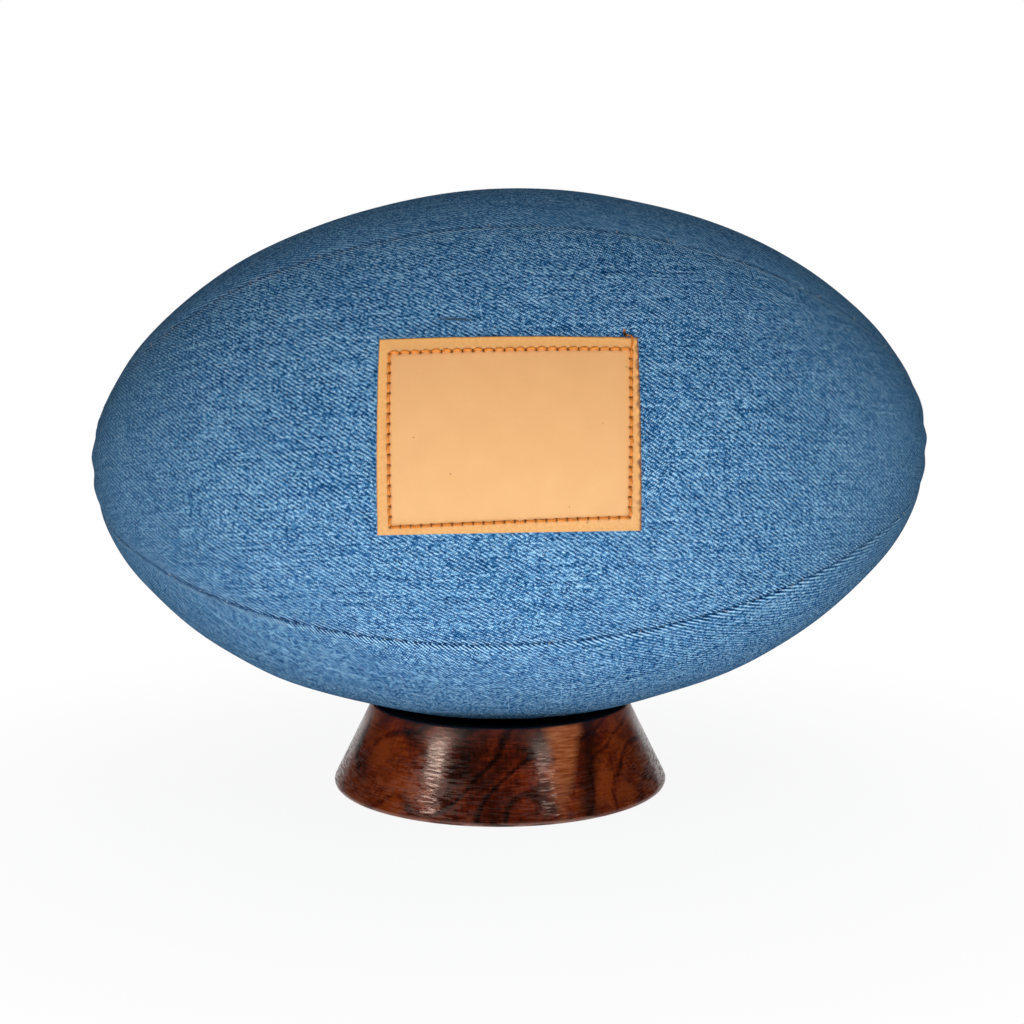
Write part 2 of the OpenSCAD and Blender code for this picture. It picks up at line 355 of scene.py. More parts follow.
# the weave: what each thing in the cloth adds to the depth of colour, and its ridges, smooth and narrowed
def twillParts(tree, cut, along, across):
    skewed = addNode(tree, "Math", {0: across, 1: denim["weftSkew"], 2: along}, operation="MULTIPLY_ADD")
    picks = addNode(tree, "Math", {0: skewed, 1: 1 / denim["pickPitch"]}, operation="MULTIPLY")
    ends = addNode(tree, "Math", {0: across, 1: 1 / denim["endPitch"]}, operation="MULTIPLY")
    pick = addNode(tree, "Math", {0: picks}, operation="FLOOR")
    end = addNode(tree, "Math", {0: ends}, operation="FLOOR")
    # twill ridges: lines on which picks and ends add up to the same count, bent a little by the stretch
    wander = addNode(tree, "TexNoise", {"Vector": cut, "Scale": 1 / denim["wander"], "Detail": 1})
    straight = addNode(tree, "Math", {0: picks, 1: ends}, operation="ADD")
    count = addNode(tree, "Math", {0: wander, 1: denim["wanderYarns"], 2: straight}, operation="MULTIPLY_ADD")
    ridges = addNode(tree, "Math", {0: count, 1: 1 / denim["repeat"]}, operation="MULTIPLY")
    swing = addNode(tree, "Math", {0: ridges, 1: fullTurn}, operation="MULTIPLY")
    wave = addNode(tree, "Math", {0: swing}, operation="COSINE")
    crest = addNode(tree, "Math", {0: wave, 1: 0.5, 2: 0.5}, operation="MULTIPLY_ADD")
    ridge = addNode(tree, "Math", {0: crest, 1: denim["crestPower"]}, operation="POWER")
    # each ridge fades in broken lengths
    ridgeNumber = addNode(tree, "Math", {0: ridges}, operation="ROUND")
    ridgeApart = addNode(tree, "Math", {0: ridgeNumber, 1: denim["ridgeApart"]}, operation="MULTIPLY")
    ridgeAlong = addNode(tree, "Math", {0: along, 1: 1 / denim["ridgeRun"]}, operation="MULTIPLY")
    ridgeWay = addNode(tree, "CombineXYZ", {0: ridgeAlong, 1: ridgeApart})
    run = addNode(tree, "TexNoise", {"Vector": ridgeWay, "Scale": 1, "Detail": 2}, noise_dimensions="2D")
    held = addNode(tree, "MapRange", {
        0: run, 1: 0.3, 2: 0.7, 3: denim["ridgeFaint"], 4: denim["ridgeBright"]})
    broken = addNode(tree, "Math", {0: ridge, 1: held}, operation="MULTIPLY")
    parts = {"ridge": broken, "run": run}
    # weft points: beads along each ridge, one to an end, from the two waves that crossings add to the twill
    endSwing = addNode(tree, "Math", {0: ends, 1: -fullTurn}, operation="MULTIPLY")
    for part, times in (("bead", 2), ("knot", 3)):
        crossSwing = addNode(tree, "Math", {0: swing, 1: times, 2: endSwing}, operation="MULTIPLY_ADD")
        parts[part] = addNode(tree, "Math", {0: crossSwing}, operation="COSINE")
    # each crossing of two yarns has its own depth of colour
    crossing = addNode(tree, "CombineXYZ", {0: pick, 1: end})
    parts["crossing"] = addNode(tree, "TexWhiteNoise", {"Vector": crossing}, noise_dimensions="2D")
    # thick and thin yarns, each with its own streaks along it, both ways of the cloth
    for part, yarn, way, axis, detail in (("warp", end, along, 0, 3), ("weft", pick, across, 1, 2)):
        yarnApart = addNode(tree, "Math", {0: yarn, 1: denim["yarnApart"]}, operation="MULTIPLY")
        yarnAlong = addNode(tree, "Math", {0: way, 1: 1 / denim["streakLength"]}, operation="MULTIPLY")
        yarnWay = addNode(tree, "CombineXYZ", {axis: yarnAlong, 1 - axis: yarnApart})
        parts[part] = addNode(tree, "TexNoise", {
            "Vector": yarnWay, "Scale": 1, "Detail": detail}, noise_dimensions="2D")
    slubWay = addNode(tree, "Mapping", {
        "Vector": cut, "Scale": (1 / denim["slubLength"], 1 / denim["slubWidth"], 1)})
    parts["slub"] = addNode(tree, "TexNoise", {"Vector": slubWay, "Scale": 1, "Detail": 1})
    for part in ("mottle", "fade"):
        parts[part] = addNode(tree, "TexNoise", {"Vector": cut, "Scale": 1 / denim[part], "Detail": 2})
    return parts, crest, ridge


# denim of one panel, whose dictionary gives the slant of its grain, its softness and its grey yarn
def denimMaterial(name, cloth):
    material, tree = newTree(name)
    uv = addNode(tree, "UVMap", {}, uv_map="cloth")
    cut = addNode(tree, "Mapping", {"Vector": uv, "Rotation": (0, 0, math.radians(cloth["grainDegrees"]))})
    axes = addNode(tree, "SeparateXYZ", {0: cut})
    parts, crest, ridge = twillParts(tree, cut, axes.outputs[0], axes.outputs[1])
    # depth of colour: a weighted sum of the parts about the middle of the ramp
    tone = denim["middleTone"] - sum(weight * mean for weight, mean in denim["shares"].values())
    for part, (weight, mean) in denim["shares"].items():
        tone = addNode(tree, "Math", {0: parts[part], 1: weight, 2: tone}, operation="MULTIPLY_ADD")
    # beside a seam the ridges are rubbed pale
    near = addNode(tree, "Attribute", {}, attribute_name="seamNear")
    rubbed = addNode(tree, "Math", {
        0: ridge, 1: denim["rubGain"], 2: denim["rubStart"]}, operation="MULTIPLY_ADD")
    worn = addNode(tree, "Math", {0: near.outputs[2], 1: rubbed, 2: tone}, operation="MULTIPLY_ADD")
    # painted shade in the crease of a seam: a broken row of dark pits, toothed by the ridges that run into it
    crease = addNode(tree, "Attribute", {}, attribute_name="paintedSeamShade")
    breaks = addNode(tree, "TexNoise", {"Vector": uv, "Scale": 1 / denim["pitLength"], "Detail": 2})
    pits = addNode(tree, "MapRange", {0: breaks, 1: 0.4, 2: 0.6, 3: denim["pitShallow"], 4: denim["pitDeep"]})
    teeth = addNode(tree, "MapRange", {0: ridge, 1: 0, 2: 0.7, 3: 1, 4: denim["pitTooth"]})
    toothed = addNode(tree, "Math", {0: pits, 1: teeth}, operation="MULTIPLY")
    sunk = addNode(tree, "Math", {0: crease.outputs[2], 1: toothed, 2: worn}, operation="MULTIPLY_ADD")
    colour = addNode(tree, "ValToRGB", {0: sunk}, stops=denim["colours"])
    # the weave shows less towards the points, where the cloth is gathered and rubbed
    fromMiddle = addNode(tree, "Math", {0: axes.outputs[0]}, operation="ABSOLUTE")
    soft = addNode(tree, "MapRange", {
        0: fromMiddle, 1: denim["softStart"], 2: denim["softFull"],
        3: cloth["softness"], 4: denim["softShare"]})
    colour = addNode(tree, "MixRGB", {0: soft, 1: colour, 2: linear(denim["meanColour"])})
    # one thick grey place in a yarn, where it is asked for
    if cloth["greyYarn"]:
        knotWay = addNode(tree, "Mapping", {
            "Vector": uv, "Location": (*cloth["greyYarn"], 0),
            "Rotation": (0, 0, math.radians(denim["knotDegrees"])),
            "Scale": (denim["knotLength"], denim["knotWidth"], 1)}, vector_type="TEXTURE")
        away = addNode(tree, "VectorMath", {0: knotWay}, operation="LENGTH")
        thick = addNode(tree, "MapRange", {
            0: away.outputs["Value"], 1: 1, 2: denim["knotCore"], 3: 0, 4: denim["knotShare"]})
        colour = addNode(tree, "MixRGB", {0: thick, 1: colour, 2: linear(denim["knotColour"])})
    bump = addNode(tree, "Bump", {"Height": crest, "Strength": 0.4, "Distance": denim["ridgeHeight"] * mm})
    shader = addNode(tree, "BsdfPrincipled", {
        "Base Color": colour, "Normal": bump, "Roughness": 0.9, "Specular IOR Level": 0.04})
    addNode(tree, "OutputMaterial", {"Surface": shader})
    return material


# vegetable-tanned leather, smooth side out: warm tan, faint mottling, fine pores, a rougher margin outside
# the stitches, dark burnished cut edges; lengths in millimetres, and colours for its top and for lower down,
# whose
# difference is painted light: the margin lighter at the top, the tan less red lower down
leather = {
    "pore": 0.45,
    "poreShare": 0.35,
    "wrinkle": 1.1,
    "grainHeight": 0.12,
    "mottle": 9,
    "paintedLightTop": 38,
    "paintedLightBottom": -14,
    "tanStops": (0.3, 0.5, 0.75),
    "tan": (("#E1A86E", "#E3AA70", "#E5AD73"), ("#D9A771", "#DBA973", "#DDAC76")),
    "marginStops": (0.3, 0.52, 0.75),
    "margin": (("#E6A65F", "#EDAE67", "#F3B974"), ("#CC965A", "#D49F62", "#DCAA6F")),
    "speck": 2.6,
    "speckRarity": 0.93,
    "speckShare": 0.07,
    "speckColour": "#6E4022",
    "burnishColour": "#744A3C",
    "holeShadeColour": "#2E140B",
}


def leatherMaterial():
    material, tree = newTree("vegetable_tanned_leather")
    uv = addNode(tree, "UVMap", {}, uv_map="cloth")
    mottle = addNode(tree, "TexNoise", {"Vector": uv, "Scale": 1 / leather["mottle"], "Detail": 4})
    pore = addNode(tree, "TexVoronoi", {"Vector": uv, "Scale": 1 / leather["pore"]})
    fine = addNode(tree, "TexNoise", {"Vector": uv, "Scale": 1 / leather["wrinkle"], "Detail": 4})
    place = addNode(tree, "SeparateXYZ", {0: uv})
    # painted light: a blend from the top colours to the lower ones, for light that falls differently there
    lower = addNode(tree, "MapRange", {0: place.outputs[1], 1: leather["paintedLightTop"], 2: leather["paintedLightBottom"]})
    shades = {}
    for part, source in (("tan", mottle), ("margin", fine)):
        ramps = [addNode(tree, "ValToRGB", {0: source}, stops=tuple(zip(leather[part + "Stops"], colours)))
                 for colours in leather[part]]
        shades[part] = addNode(tree, "MixRGB", {0: lower, 1: ramps[0], 2: ramps[1]})
    margin = addNode(tree, "Attribute", {}, attribute_name="margin")
    hide = addNode(tree, "MixRGB", {0: margin.outputs[2], 1: shades["tan"], 2: shades["margin"]})
    # a few small dark specks
    cells = addNode(tree, "TexVoronoi", {"Vector": uv, "Scale": 1 / leather["speck"]})
    chance = addNode(tree, "SeparateColor", {0: cells.outputs[1]})
    rare = addNode(tree, "Math", {0: chance.outputs[0], 1: leather["speckRarity"]}, operation="GREATER_THAN")
    close = addNode(tree, "Math", {0: cells.outputs[0], 1: leather["speckShare"]}, operation="LESS_THAN")
    speck = addNode(tree, "Math", {0: rare, 1: close}, operation="MULTIPLY")
    specked = addNode(tree, "MixRGB", {0: speck, 1: hide, 2: linear(leather["speckColour"])})
    # burnished cut edges, uneven with the grain, and painted shade in the needle holes
    edge = addNode(tree, "Attribute", {}, attribute_name="burnish")
    rough = addNode(tree, "Math", {0: fine, 1: 1.8, 2: -0.1}, operation="MULTIPLY_ADD")
    burnt = addNode(tree, "Math", {0: edge.outputs[2], 1: rough}, operation="MULTIPLY", use_clamp=True)
    edged = addNode(tree, "MixRGB", {0: burnt, 1: specked, 2: linear(leather["burnishColour"])})
    hole = addNode(tree, "Attribute", {}, attribute_name="needleHoleShade")
    pierced = addNode(tree, "MixRGB", {0: hole.outputs[2], 1: edged, 2: linear(leather["holeShadeColour"])})
    high = addNode(tree, "Math", {0: pore, 1: leather["poreShare"], 2: fine}, operation="MULTIPLY_ADD")
    bump = addNode(tree, "Bump", {"Height": high, "Strength": 0.25, "Distance": leather["grainHeight"] * mm})
    shader = addNode(tree, "BsdfPrincipled", {
        "Base Color": pierced, "Normal": bump, "Roughness": 0.62, "Specular IOR Level": 0.3})
    addNode(tree, "OutputMaterial", {"Surface": shader})
    return material


# twisted thread: slanting plies that catch the light, darker between them, with small hairs
thread = {"hairsPerMetre": 2200, "hairShare": 0.6, "plyHeight": 0.15, "charColour": "#1C0D07"}


def threadMaterial(name, lightColour, darkColour, layLength, plies, roughness):
    material, tree = newTree(name)
    uv = addNode(tree, "UVMap", {}, uv_map="cloth")
    axes = addNode(tree, "SeparateXYZ", {0: uv})
    along = addNode(tree, "Math", {0: axes.outputs[0], 1: fullTurn * plies / layLength}, operation="MULTIPLY")
    lay = addNode(tree, "Math", {0: axes.outputs[1], 1: fullTurn * plies, 2: along}, operation="MULTIPLY_ADD")
    wave = addNode(tree, "Math", {0: lay}, operation="SINE")
    ply = addNode(tree, "Math", {0: wave, 1: 0.5, 2: 0.5}, operation="MULTIPLY_ADD")
    place = addNode(tree, "TexCoord", {})
    hairs = addNode(tree, "TexNoise", {
        "Vector": place.outputs["Object"], "Scale": thread["hairsPerMetre"], "Detail": 2})
    tone = addNode(tree, "Math", {
        0: hairs, 1: thread["hairShare"], 2: -thread["hairShare"] / 2}, operation="MULTIPLY_ADD")
    mixed = addNode(tree, "Math", {0: ply, 1: tone}, operation="ADD")
    colour = addNode(tree, "ValToRGB", {0: mixed}, stops=((0.05, darkColour), (0.7, lightColour)))
    charred = addNode(tree, "Attribute", {}, attribute_name="charred")
    shown = addNode(tree, "MixRGB", {0: charred.outputs[2], 1: colour, 2: linear(thread["charColour"])})
    bump = addNode(tree, "Bump", {"Height": ply, "Strength": 0.6, "Distance": thread["plyHeight"] * mm})
    shader = addNode(tree, "BsdfPrincipled", {"Base Color": shown, "Normal": bump, "Roughness": roughness})
    addNode(tree, "OutputMaterial", {"Surface": shader})
    return material


# varnished hardwood, turned: red-brown with thin black grain lines, an amber sapwood streak with a dark edge,
# fine sanding marks round it that break the gloss into dashes, and paler patches along the foot; lengths in
# millimetres
hardwood = {
    "ringWidth": 12,
    "ringSlope": 0.6,
    "ringDepthSlope": 0.35,
    "warp": 30,
    "warpReach": 40,
    "linePower": 9,
    "figure": 14,
    "fibre": 0.7,
    "fibreDegrees": 33,
    "fibreRuns": (0.08, 0.2, 1),  # pace of the fibres the three ways, as shares of their width
    "fleckWidth": 1.1,
    "fleckLength": 7,
    "sideLightWidth": 28,
    "sideLightSlope": -0.5,
    "sideLightDepth": 0.18,
    "baseTone": -0.42,
    "shares": {"wave": 0.05, "line": -0.26, "fibre": 0.4, "fleck": 0.5, "figure": 1.05},
    "heart": ((0.2, "#120301"), (0.4, "#380E03"), (0.58, "#611D06"), (0.8, "#8A3A12")),
    "sapPlace": 25,
    "sapBend": 8,
    "sapTaper": 0.18,
    "sapCore": -1,
    "sapEdge": 2,
    "sapRise": 16,
    "sap": ((0.3, "#6E2E12"), (0.52, "#9A5028"), (0.75, "#BA7448")),
    "stainPlace": 9.2,
    "stainCore": 1,
    "stainEdge": 4.8,
    "stainShare": 0.85,
    "stainColour": "#1A0602",
    # width up the block and count in a radian round it, of each kind of mark
    "marks": {"scratch": (0.45, 14), "lump": (2.6, 6), "dash": (0.55, 11)},
    "scratchHeight": 0.018,
    "lumpHeight": 0.1,
    "markStops": (0.44, 0.56),
    "handled": {"low": 9, "high": 23, "lowDull": 0.34, "highDull": 0.08},
    "rim": {"low": 21, "high": 28, "lowDull": 0.1, "highDull": 0.36},
    "paleFootStart": 0.3,
    "paleFootHeight": 1.7,
    "paleFootShare": 0.85,
    "paleFootColour": "#B98C78",
}


# colour under the varnish: rings, fibres and flecks on the dark heart, then the sapwood and its stain
def hardwoodColour(tree, inMm, x, y, z):
    # slanting growth rings, warped by the figure: broad bands, and a thin black line on each
    across = addNode(tree, "Math", {0: x, 1: hardwood["ringSlope"]}, operation="MULTIPLY")
    slant = addNode(tree, "Math", {0: across, 1: z}, operation="SUBTRACT")
    deep = addNode(tree, "Math", {0: y, 1: hardwood["ringDepthSlope"], 2: slant}, operation="MULTIPLY_ADD")
    warp = addNode(tree, "TexNoise", {"Vector": inMm, "Scale": 1 / hardwood["warp"], "Detail": 1})
    rings = addNode(tree, "Math", {0: warp, 1: hardwood["warpReach"], 2: deep}, operation="MULTIPLY_ADD")
    pace = addNode(tree, "Math", {0: rings, 1: fullTurn / hardwood["ringWidth"]}, operation="MULTIPLY")
    wave = addNode(tree, "Math", {0: pace}, operation="SINE")
    late = addNode(tree, "Math", {0: wave, 1: 0.5, 2: 0.5}, operation="MULTIPLY_ADD")
    line = addNode(tree, "Math", {0: late, 1: hardwood["linePower"]}, operation="POWER")
    fibreWay = addNode(tree, "Mapping", {
        "Vector": inMm, "Rotation": (0, math.radians(hardwood["fibreDegrees"]), 0),
        "Scale": [run / hardwood["fibre"] for run in hardwood["fibreRuns"]]})
    fibre = addNode(tree, "TexNoise", {"Vector": fibreWay, "Scale": 1, "Detail": 3})
    fleckWay = addNode(tree, "Mapping", {"Vector": inMm, "Scale": (
        1 / hardwood["fleckWidth"], 1 / hardwood["fleckWidth"], 1 / hardwood["fleckLength"])})
    fleck = addNode(tree, "TexNoise", {"Vector": fleckWay, "Scale": 1, "Detail": 3})
    figure = addNode(tree, "TexNoise", {"Vector": inMm, "Scale": 1 / hardwood["figure"], "Detail": 4})
    # painted light and shade: darker in the middle and higher up, lighter towards the sides, where more light
    # falls on the block
    aside = addNode(tree, "Math", {0: x}, operation="ABSOLUTE")
    spread = addNode(tree, "Math", {0: z, 1: hardwood["sideLightSlope"], 2: aside}, operation="MULTIPLY_ADD")
    outer = addNode(tree, "MapRange", {
        0: spread, 1: 0, 2: hardwood["sideLightWidth"], 3: -hardwood["sideLightDepth"], 4: hardwood["sideLightDepth"]})
    tone = addNode(tree, "Math", {0: outer, 1: hardwood["baseTone"]}, operation="ADD")
    parts = {"wave": wave, "line": line, "fibre": fibre, "fleck": fleck, "figure": figure}
    for part, weight in hardwood["shares"].items():
        tone = addNode(tree, "Math", {0: parts[part], 1: weight, 2: tone}, operation="MULTIPLY_ADD")
    heart = addNode(tree, "ValToRGB", {0: tone}, stops=hardwood["heart"])
    # pale sapwood: a streak on one side that narrows towards the foot, with a dark stain at its far edge
    bent = addNode(tree, "Math", {0: figure, 1: hardwood["sapBend"], 2: x}, operation="MULTIPLY_ADD")
    away = addNode(tree, "Math", {0: bent, 1: hardwood["sapPlace"]}, operation="SUBTRACT")
    apart = addNode(tree, "Math", {0: away}, operation="ABSOLUTE")
    widened = addNode(tree, "Math", {0: z, 1: -hardwood["sapTaper"], 2: apart}, operation="MULTIPLY_ADD")
    streak = addNode(tree, "MapRange", {
        0: widened, 1: hardwood["sapCore"], 2: hardwood["sapEdge"], 3: 1, 4: 0})
    risen = addNode(tree, "MapRange", {0: z, 1: 0, 2: hardwood["sapRise"], 3: 0.5, 4: 1})
    sap = addNode(tree, "Math", {0: streak, 1: risen}, operation="MULTIPLY")
    amber = addNode(tree, "ValToRGB", {0: fibre}, stops=hardwood["sap"])
    stainAway = addNode(tree, "Math", {0: away, 1: hardwood["stainPlace"]}, operation="SUBTRACT")
    stainApart = addNode(tree, "Math", {0: stainAway}, operation="ABSOLUTE")
    stain = addNode(tree, "MapRange", {
        0: stainApart, 1: hardwood["stainCore"], 2: hardwood["stainEdge"], 3: hardwood["stainShare"], 4: 0})
    stained = addNode(tree, "MixRGB", {0: stain, 1: heart, 2: linear(hardwood["stainColour"])})
    return addNode(tree, "MixRGB", {0: sap, 1: stained, 2: amber})


def hardwoodMaterial():
    material, tree = newTree("varnished_hardwood")
    place = addNode(tree, "TexCoord", {})
    inMm = addNode(tree, "Mapping", {"Vector": place.outputs["Object"], "Scale": (1 / mm, 1 / mm, 1 / mm)})
    axes = addNode(tree, "SeparateXYZ", {0: inMm})
    x, y, z = axes.outputs[0], axes.outputs[1], axes.outputs[2]
    wood = hardwoodColour(tree, inMm, x, y, z)
    # way round the block and up it: the heading from its axis, and the height in millimetres
    fromAxis = addNode(tree, "CombineXYZ", {0: x, 1: y})
    heading = addNode(tree, "VectorMath", {0: fromAxis}, operation="NORMALIZE")
    headings = addNode(tree, "SeparateXYZ", {0: heading})
    around = addNode(tree, "CombineXYZ", {0: headings.outputs[0], 1: headings.outputs[1], 2: z})
    # sanding marks under the varnish and its own slight lumps, as heights in millimetres
    marks = {}
    for mark, (width, perRadian) in hardwood["marks"].items():
        way = addNode(tree, "Mapping", {"Vector": around, "Scale": (perRadian, perRadian, 1 / width)})
        marks[mark] = addNode(tree, "TexNoise", {"Vector": way, "Scale": 1, "Detail": 2})
    lumped = addNode(tree, "Math", {0: marks["lump"], 1: hardwood["lumpHeight"]}, operation="MULTIPLY")
    high = addNode(tree, "Math", {
        0: marks["scratch"], 1: hardwood["scratchHeight"], 2: lumped}, operation="MULTIPLY_ADD")
    bump = addNode(tree, "Bump", {"Height": high, "Strength": 1, "Distance": mm})
    # dull dashes in the gloss, few above and many towards the foot, and a duller band under the rim
    start, stop = hardwood["markStops"]
    dull = addNode(tree, "MapRange", {0: marks["dash"], 1: start, 2: stop})
    handled, rim = (
        addNode(tree, "MapRange", {
            0: z, 1: band["low"], 2: band["high"], 3: band["lowDull"], 4: band["highDull"]})
        for band in (hardwood["handled"], hardwood["rim"]))
    polish = addNode(tree, "Math", {0: dull, 1: handled, 2: rim}, operation="MULTIPLY_ADD")
    # paler patches along the foot
    low = addNode(tree, "MapRange", {0: z, 1: hardwood["paleFootStart"], 2: hardwood["paleFootHeight"], 3: 1, 4: 0})
    palePatches = addNode(tree, "MapRange", {0: marks["lump"], 1: start, 2: stop, 3: 0, 4: hardwood["paleFootShare"]})
    paleFoot = addNode(tree, "Math", {0: low, 1: palePatches}, operation="MULTIPLY")
    paleFooted = addNode(tree, "MixRGB", {0: paleFoot, 1: wood, 2: linear(hardwood["paleFootColour"])})
    shader = addNode(tree, "BsdfPrincipled", {
        "Base Color": paleFooted, "Normal": bump, "Roughness": 0.5, "Coat Weight": 0.8, "Coat Roughness": polish,
        "Coat Normal": bump, "Specular IOR Level": 0.02})
    addNode(tree, "OutputMaterial", {"Surface": shader})
    return material


# cloths and rubbers that mostly stay out of sight: a weave or a moulded grain on two close colours, with
# broad patches; grain and depth in millimetres
plain = {"patch": 25, "patchShare": 0.4, "stops": (0.3, 0.7)}


def plainMaterial(name, darkColour, lightColour, grain, depth, roughness, sheen=0.0):
    material, tree = newTree(name)
    place = addNode(tree, "TexCoord", {})
    spots = addNode(tree, "TexNoise", {
        "Vector": place.outputs["Object"], "Scale": 1 / (grain * mm), "Detail": 3})
    broad = addNode(tree, "TexNoise", {
        "Vector": place.outputs["Object"], "Scale": 1 / (grain * plain["patch"] * mm)})
    tone = addNode(tree, "Math", {
        0: broad, 1: plain["patchShare"], 2: -plain["patchShare"] / 2}, operation="MULTIPLY_ADD")
    mixed = addNode(tree, "Math", {0: spots, 1: tone}, operation="ADD")
    stops = tuple(zip(plain["stops"], (darkColour, lightColour)))
    colour = addNode(tree, "ValToRGB", {0: mixed}, stops=stops)
    bump = addNode(tree, "Bump", {"Height": spots, "Strength": 0.5, "Distance": depth * mm})
    shader = addNode(tree, "BsdfPrincipled", {
        "Base Color": colour, "Normal": bump, "Roughness": roughness, "Sheen Weight": sheen})
    addNode(tree, "OutputMaterial", {"Surface": shader})
    return material


# dark blue thread, deepened further as painted shade of the seam's gap, where most of it lies
seamThread = threadMaterial(
    "navy_thread_deepened_as_gap_shade", "#16243C", "#060B14", layLength=1.2, plies=3, roughness=0.9)
cottonFibre = threadMaterial(
    "undyed_cotton_fibre", "#E2D2AC", "#A8946C", layLength=0.8, plies=2, roughness=0.8)
waxedThread = threadMaterial(
    "waxed_linen_thread", "#F59834", "#C26A1C", layLength=1.3, plies=3, roughness=0.45)
canvas = plainMaterial(
    "unbleached_canvas", "#B5A88A", "#D8CDB4", grain=0.6, depth=0.2, roughness=0.9, sheen=0.1)
bladderRubber = plainMaterial(
    "moulded_bladder_rubber", "#3A3836", "#4C4A47", grain=0.4, depth=0.03, roughness=0.7)
valveRubber = plainMaterial(
    "moulded_valve_rubber", "#17171A", "#242428", grain=0.3, depth=0.03, roughness=0.6)
felt = plainMaterial(
    "black_pressed_felt", "#060404", "#120D0C", grain=0.35, depth=0.3, roughness=0.95)
varnishedWood = hardwoodMaterial()
tannedLeather = leatherMaterial()
print("finishes made")


# Denim panels

# one quarter of the cover: cloth stretched over the oval, drawn in along its seams, edges turned under
panel = {
    "clothThickness": 1.0 * mm,
    "hemDepth": 2.0 * mm,
    "hemWidth": 5.0 * mm,
    "hemShare": 0.5,
    "pointHem": 11 * mm,
    "pocket": 0.1 * mm,
    "axisGap": 0.2 * mm,
    "seamGap": 0.14 * mm,
    "gapeLength": 5 * mm,
    "gapeMean": 0.35,
    "gapeChange": 0.5,
    "gapeLeast": 0.1,
    "edgeRound": 0.36 * mm,
    "edgeShare": 0.3,
    "pillowDepth": 0.45 * mm,
    "pillowReach": 3.5 * mm,
    "puckerPitch": 4.5 * mm,
    "puckerDepth": 0.1 * mm,
    "puckerReach": 4.0 * mm,
    "puckerMean": 0.6,
    "puckerChange": 0.4,
    "puckerRun": 30 * mm,
    "puckerApart": 80 * mm,
    "wander": 0.06 * mm,
    "wanderLength": 45 * mm,
    "dimpleDepth": 0.8 * mm,
    "dimpleReach": 3.2 * mm,
    "puffHeight": 0.12 * mm,
    "puffPlace": 6.5 * mm,
    "rippleHeight": 0.34 * mm,
    "ripplePlace": 18 * mm,
    "rippleReach": 9 * mm,
    "ripples": 10,
    "rippleTurns": (17, 8),
    "wornPlace": 1.4 * mm,
    "wornReach": 0.85 * mm,
    # painted shade in each seam's crease: its reach, its strength on the upper seams, and its growth towards
    # the left of the lower seams
    "creaseReach": 1.0 * mm,
    "upperCrease": 1.1,
    "creaseGain": 0.9,
    "creaseStart": 20 * mm,
    "creaseFull": 100 * mm,
    "rows": 400,
    "columns": 150,
    "columnGather": 0.5,
    "innerColumns": 30,
    "cornerSteps": 5,
    "firstSeed": 20,
    "seedStep": 5,
}
# turn from the front, slant of the grain, wear along the lower and upper edge, softness of the weave, and the
# place of a grey yarn in millimetres
panels = {
    "front": {
        "turn": 0, "grainDegrees": 0, "wear": (0.8, 1.7), "softness": 0, "greyYarn": (-13.6, 32.6)},
    "top": {"turn": 90, "grainDegrees": 4, "wear": (0.8, 0.8), "softness": 0.32, "greyYarn": None},
    "back": {"turn": 180, "grainDegrees": 0, "wear": (0.8, 0.8), "softness": 0, "greyYarn": None},
    "bottom": {"turn": -90, "grainDegrees": 6, "wear": (1.6, 1.6), "softness": 0, "greyYarn": None},
}
# hole through the back panel: the square of the grid that it takes up, and the rings that fill it
valve = {
    "panel": "back",
    "holeRadius": 4.7 * mm,
    "window": 14,
    "rings": (0.35, 0.7, 0.92),
    "lipDip": 0.15 * mm,
}


# half width and hem at each row, and the cross-section's places across and depths, as a closed loop: outside,
# rolled edge, turned-in hem, inside, and back
def panelSection(s, seed):
    x, r = meridian(s)[:2]
    gape = panel["gapeMean"] + panel["gapeChange"] * relief(seed + 2, panel["gapeLength"], s, 0)
    half = r * math.pi / 4 - panel["seamGap"] / 2 * np.clip(gape, panel["gapeLeast"], 1) * r / halfDiameter
    bend = np.minimum(panel["edgeRound"], panel["edgeShare"] * half)[:, None]
    hem = np.minimum(panel["hemWidth"], panel["hemShare"] * half)
    # outside columns lie closer together near the edges
    share = np.linspace(-1, 1, panel["columns"])
    share = share + panel["columnGather"] * np.sin(math.pi * share) / math.pi
    corner = np.radians(np.linspace(0, 90, panel["cornerSteps"] + 1)[1:])
    edge = half[:, None]
    outer = (edge - bend) * share
    rolled = edge - bend + bend * np.sin(corner)
    hemInner = (half - hem)[:, None]
    pocket = hemInner - panel["pocket"] * np.minimum(1, hem / panel["hemWidth"])[:, None]
    inner = pocket * np.linspace(1, -1, panel["innerColumns"])
    across = np.concatenate([
        outer, rolled, edge, hemInner, inner, -hemInner, -edge, -rolled[:, ::-1]], axis=1)
    rolledDepth = bend * (1 - np.cos(corner))
    hemDepth = np.full_like(edge, panel["hemDepth"])
    doubled = (np.abs(x) > halfLength - panel["pointHem"])[:, None]
    innerDepth = np.broadcast_to(np.where(doubled, panel["hemDepth"], panel["clothThickness"]), inner.shape)
    depth = np.concatenate([
        np.zeros_like(outer), rolledDepth, hemDepth, hemDepth, innerDepth, hemDepth, hemDepth,
        rolledDepth[:, ::-1]], axis=1)
    return half, hem, across, depth


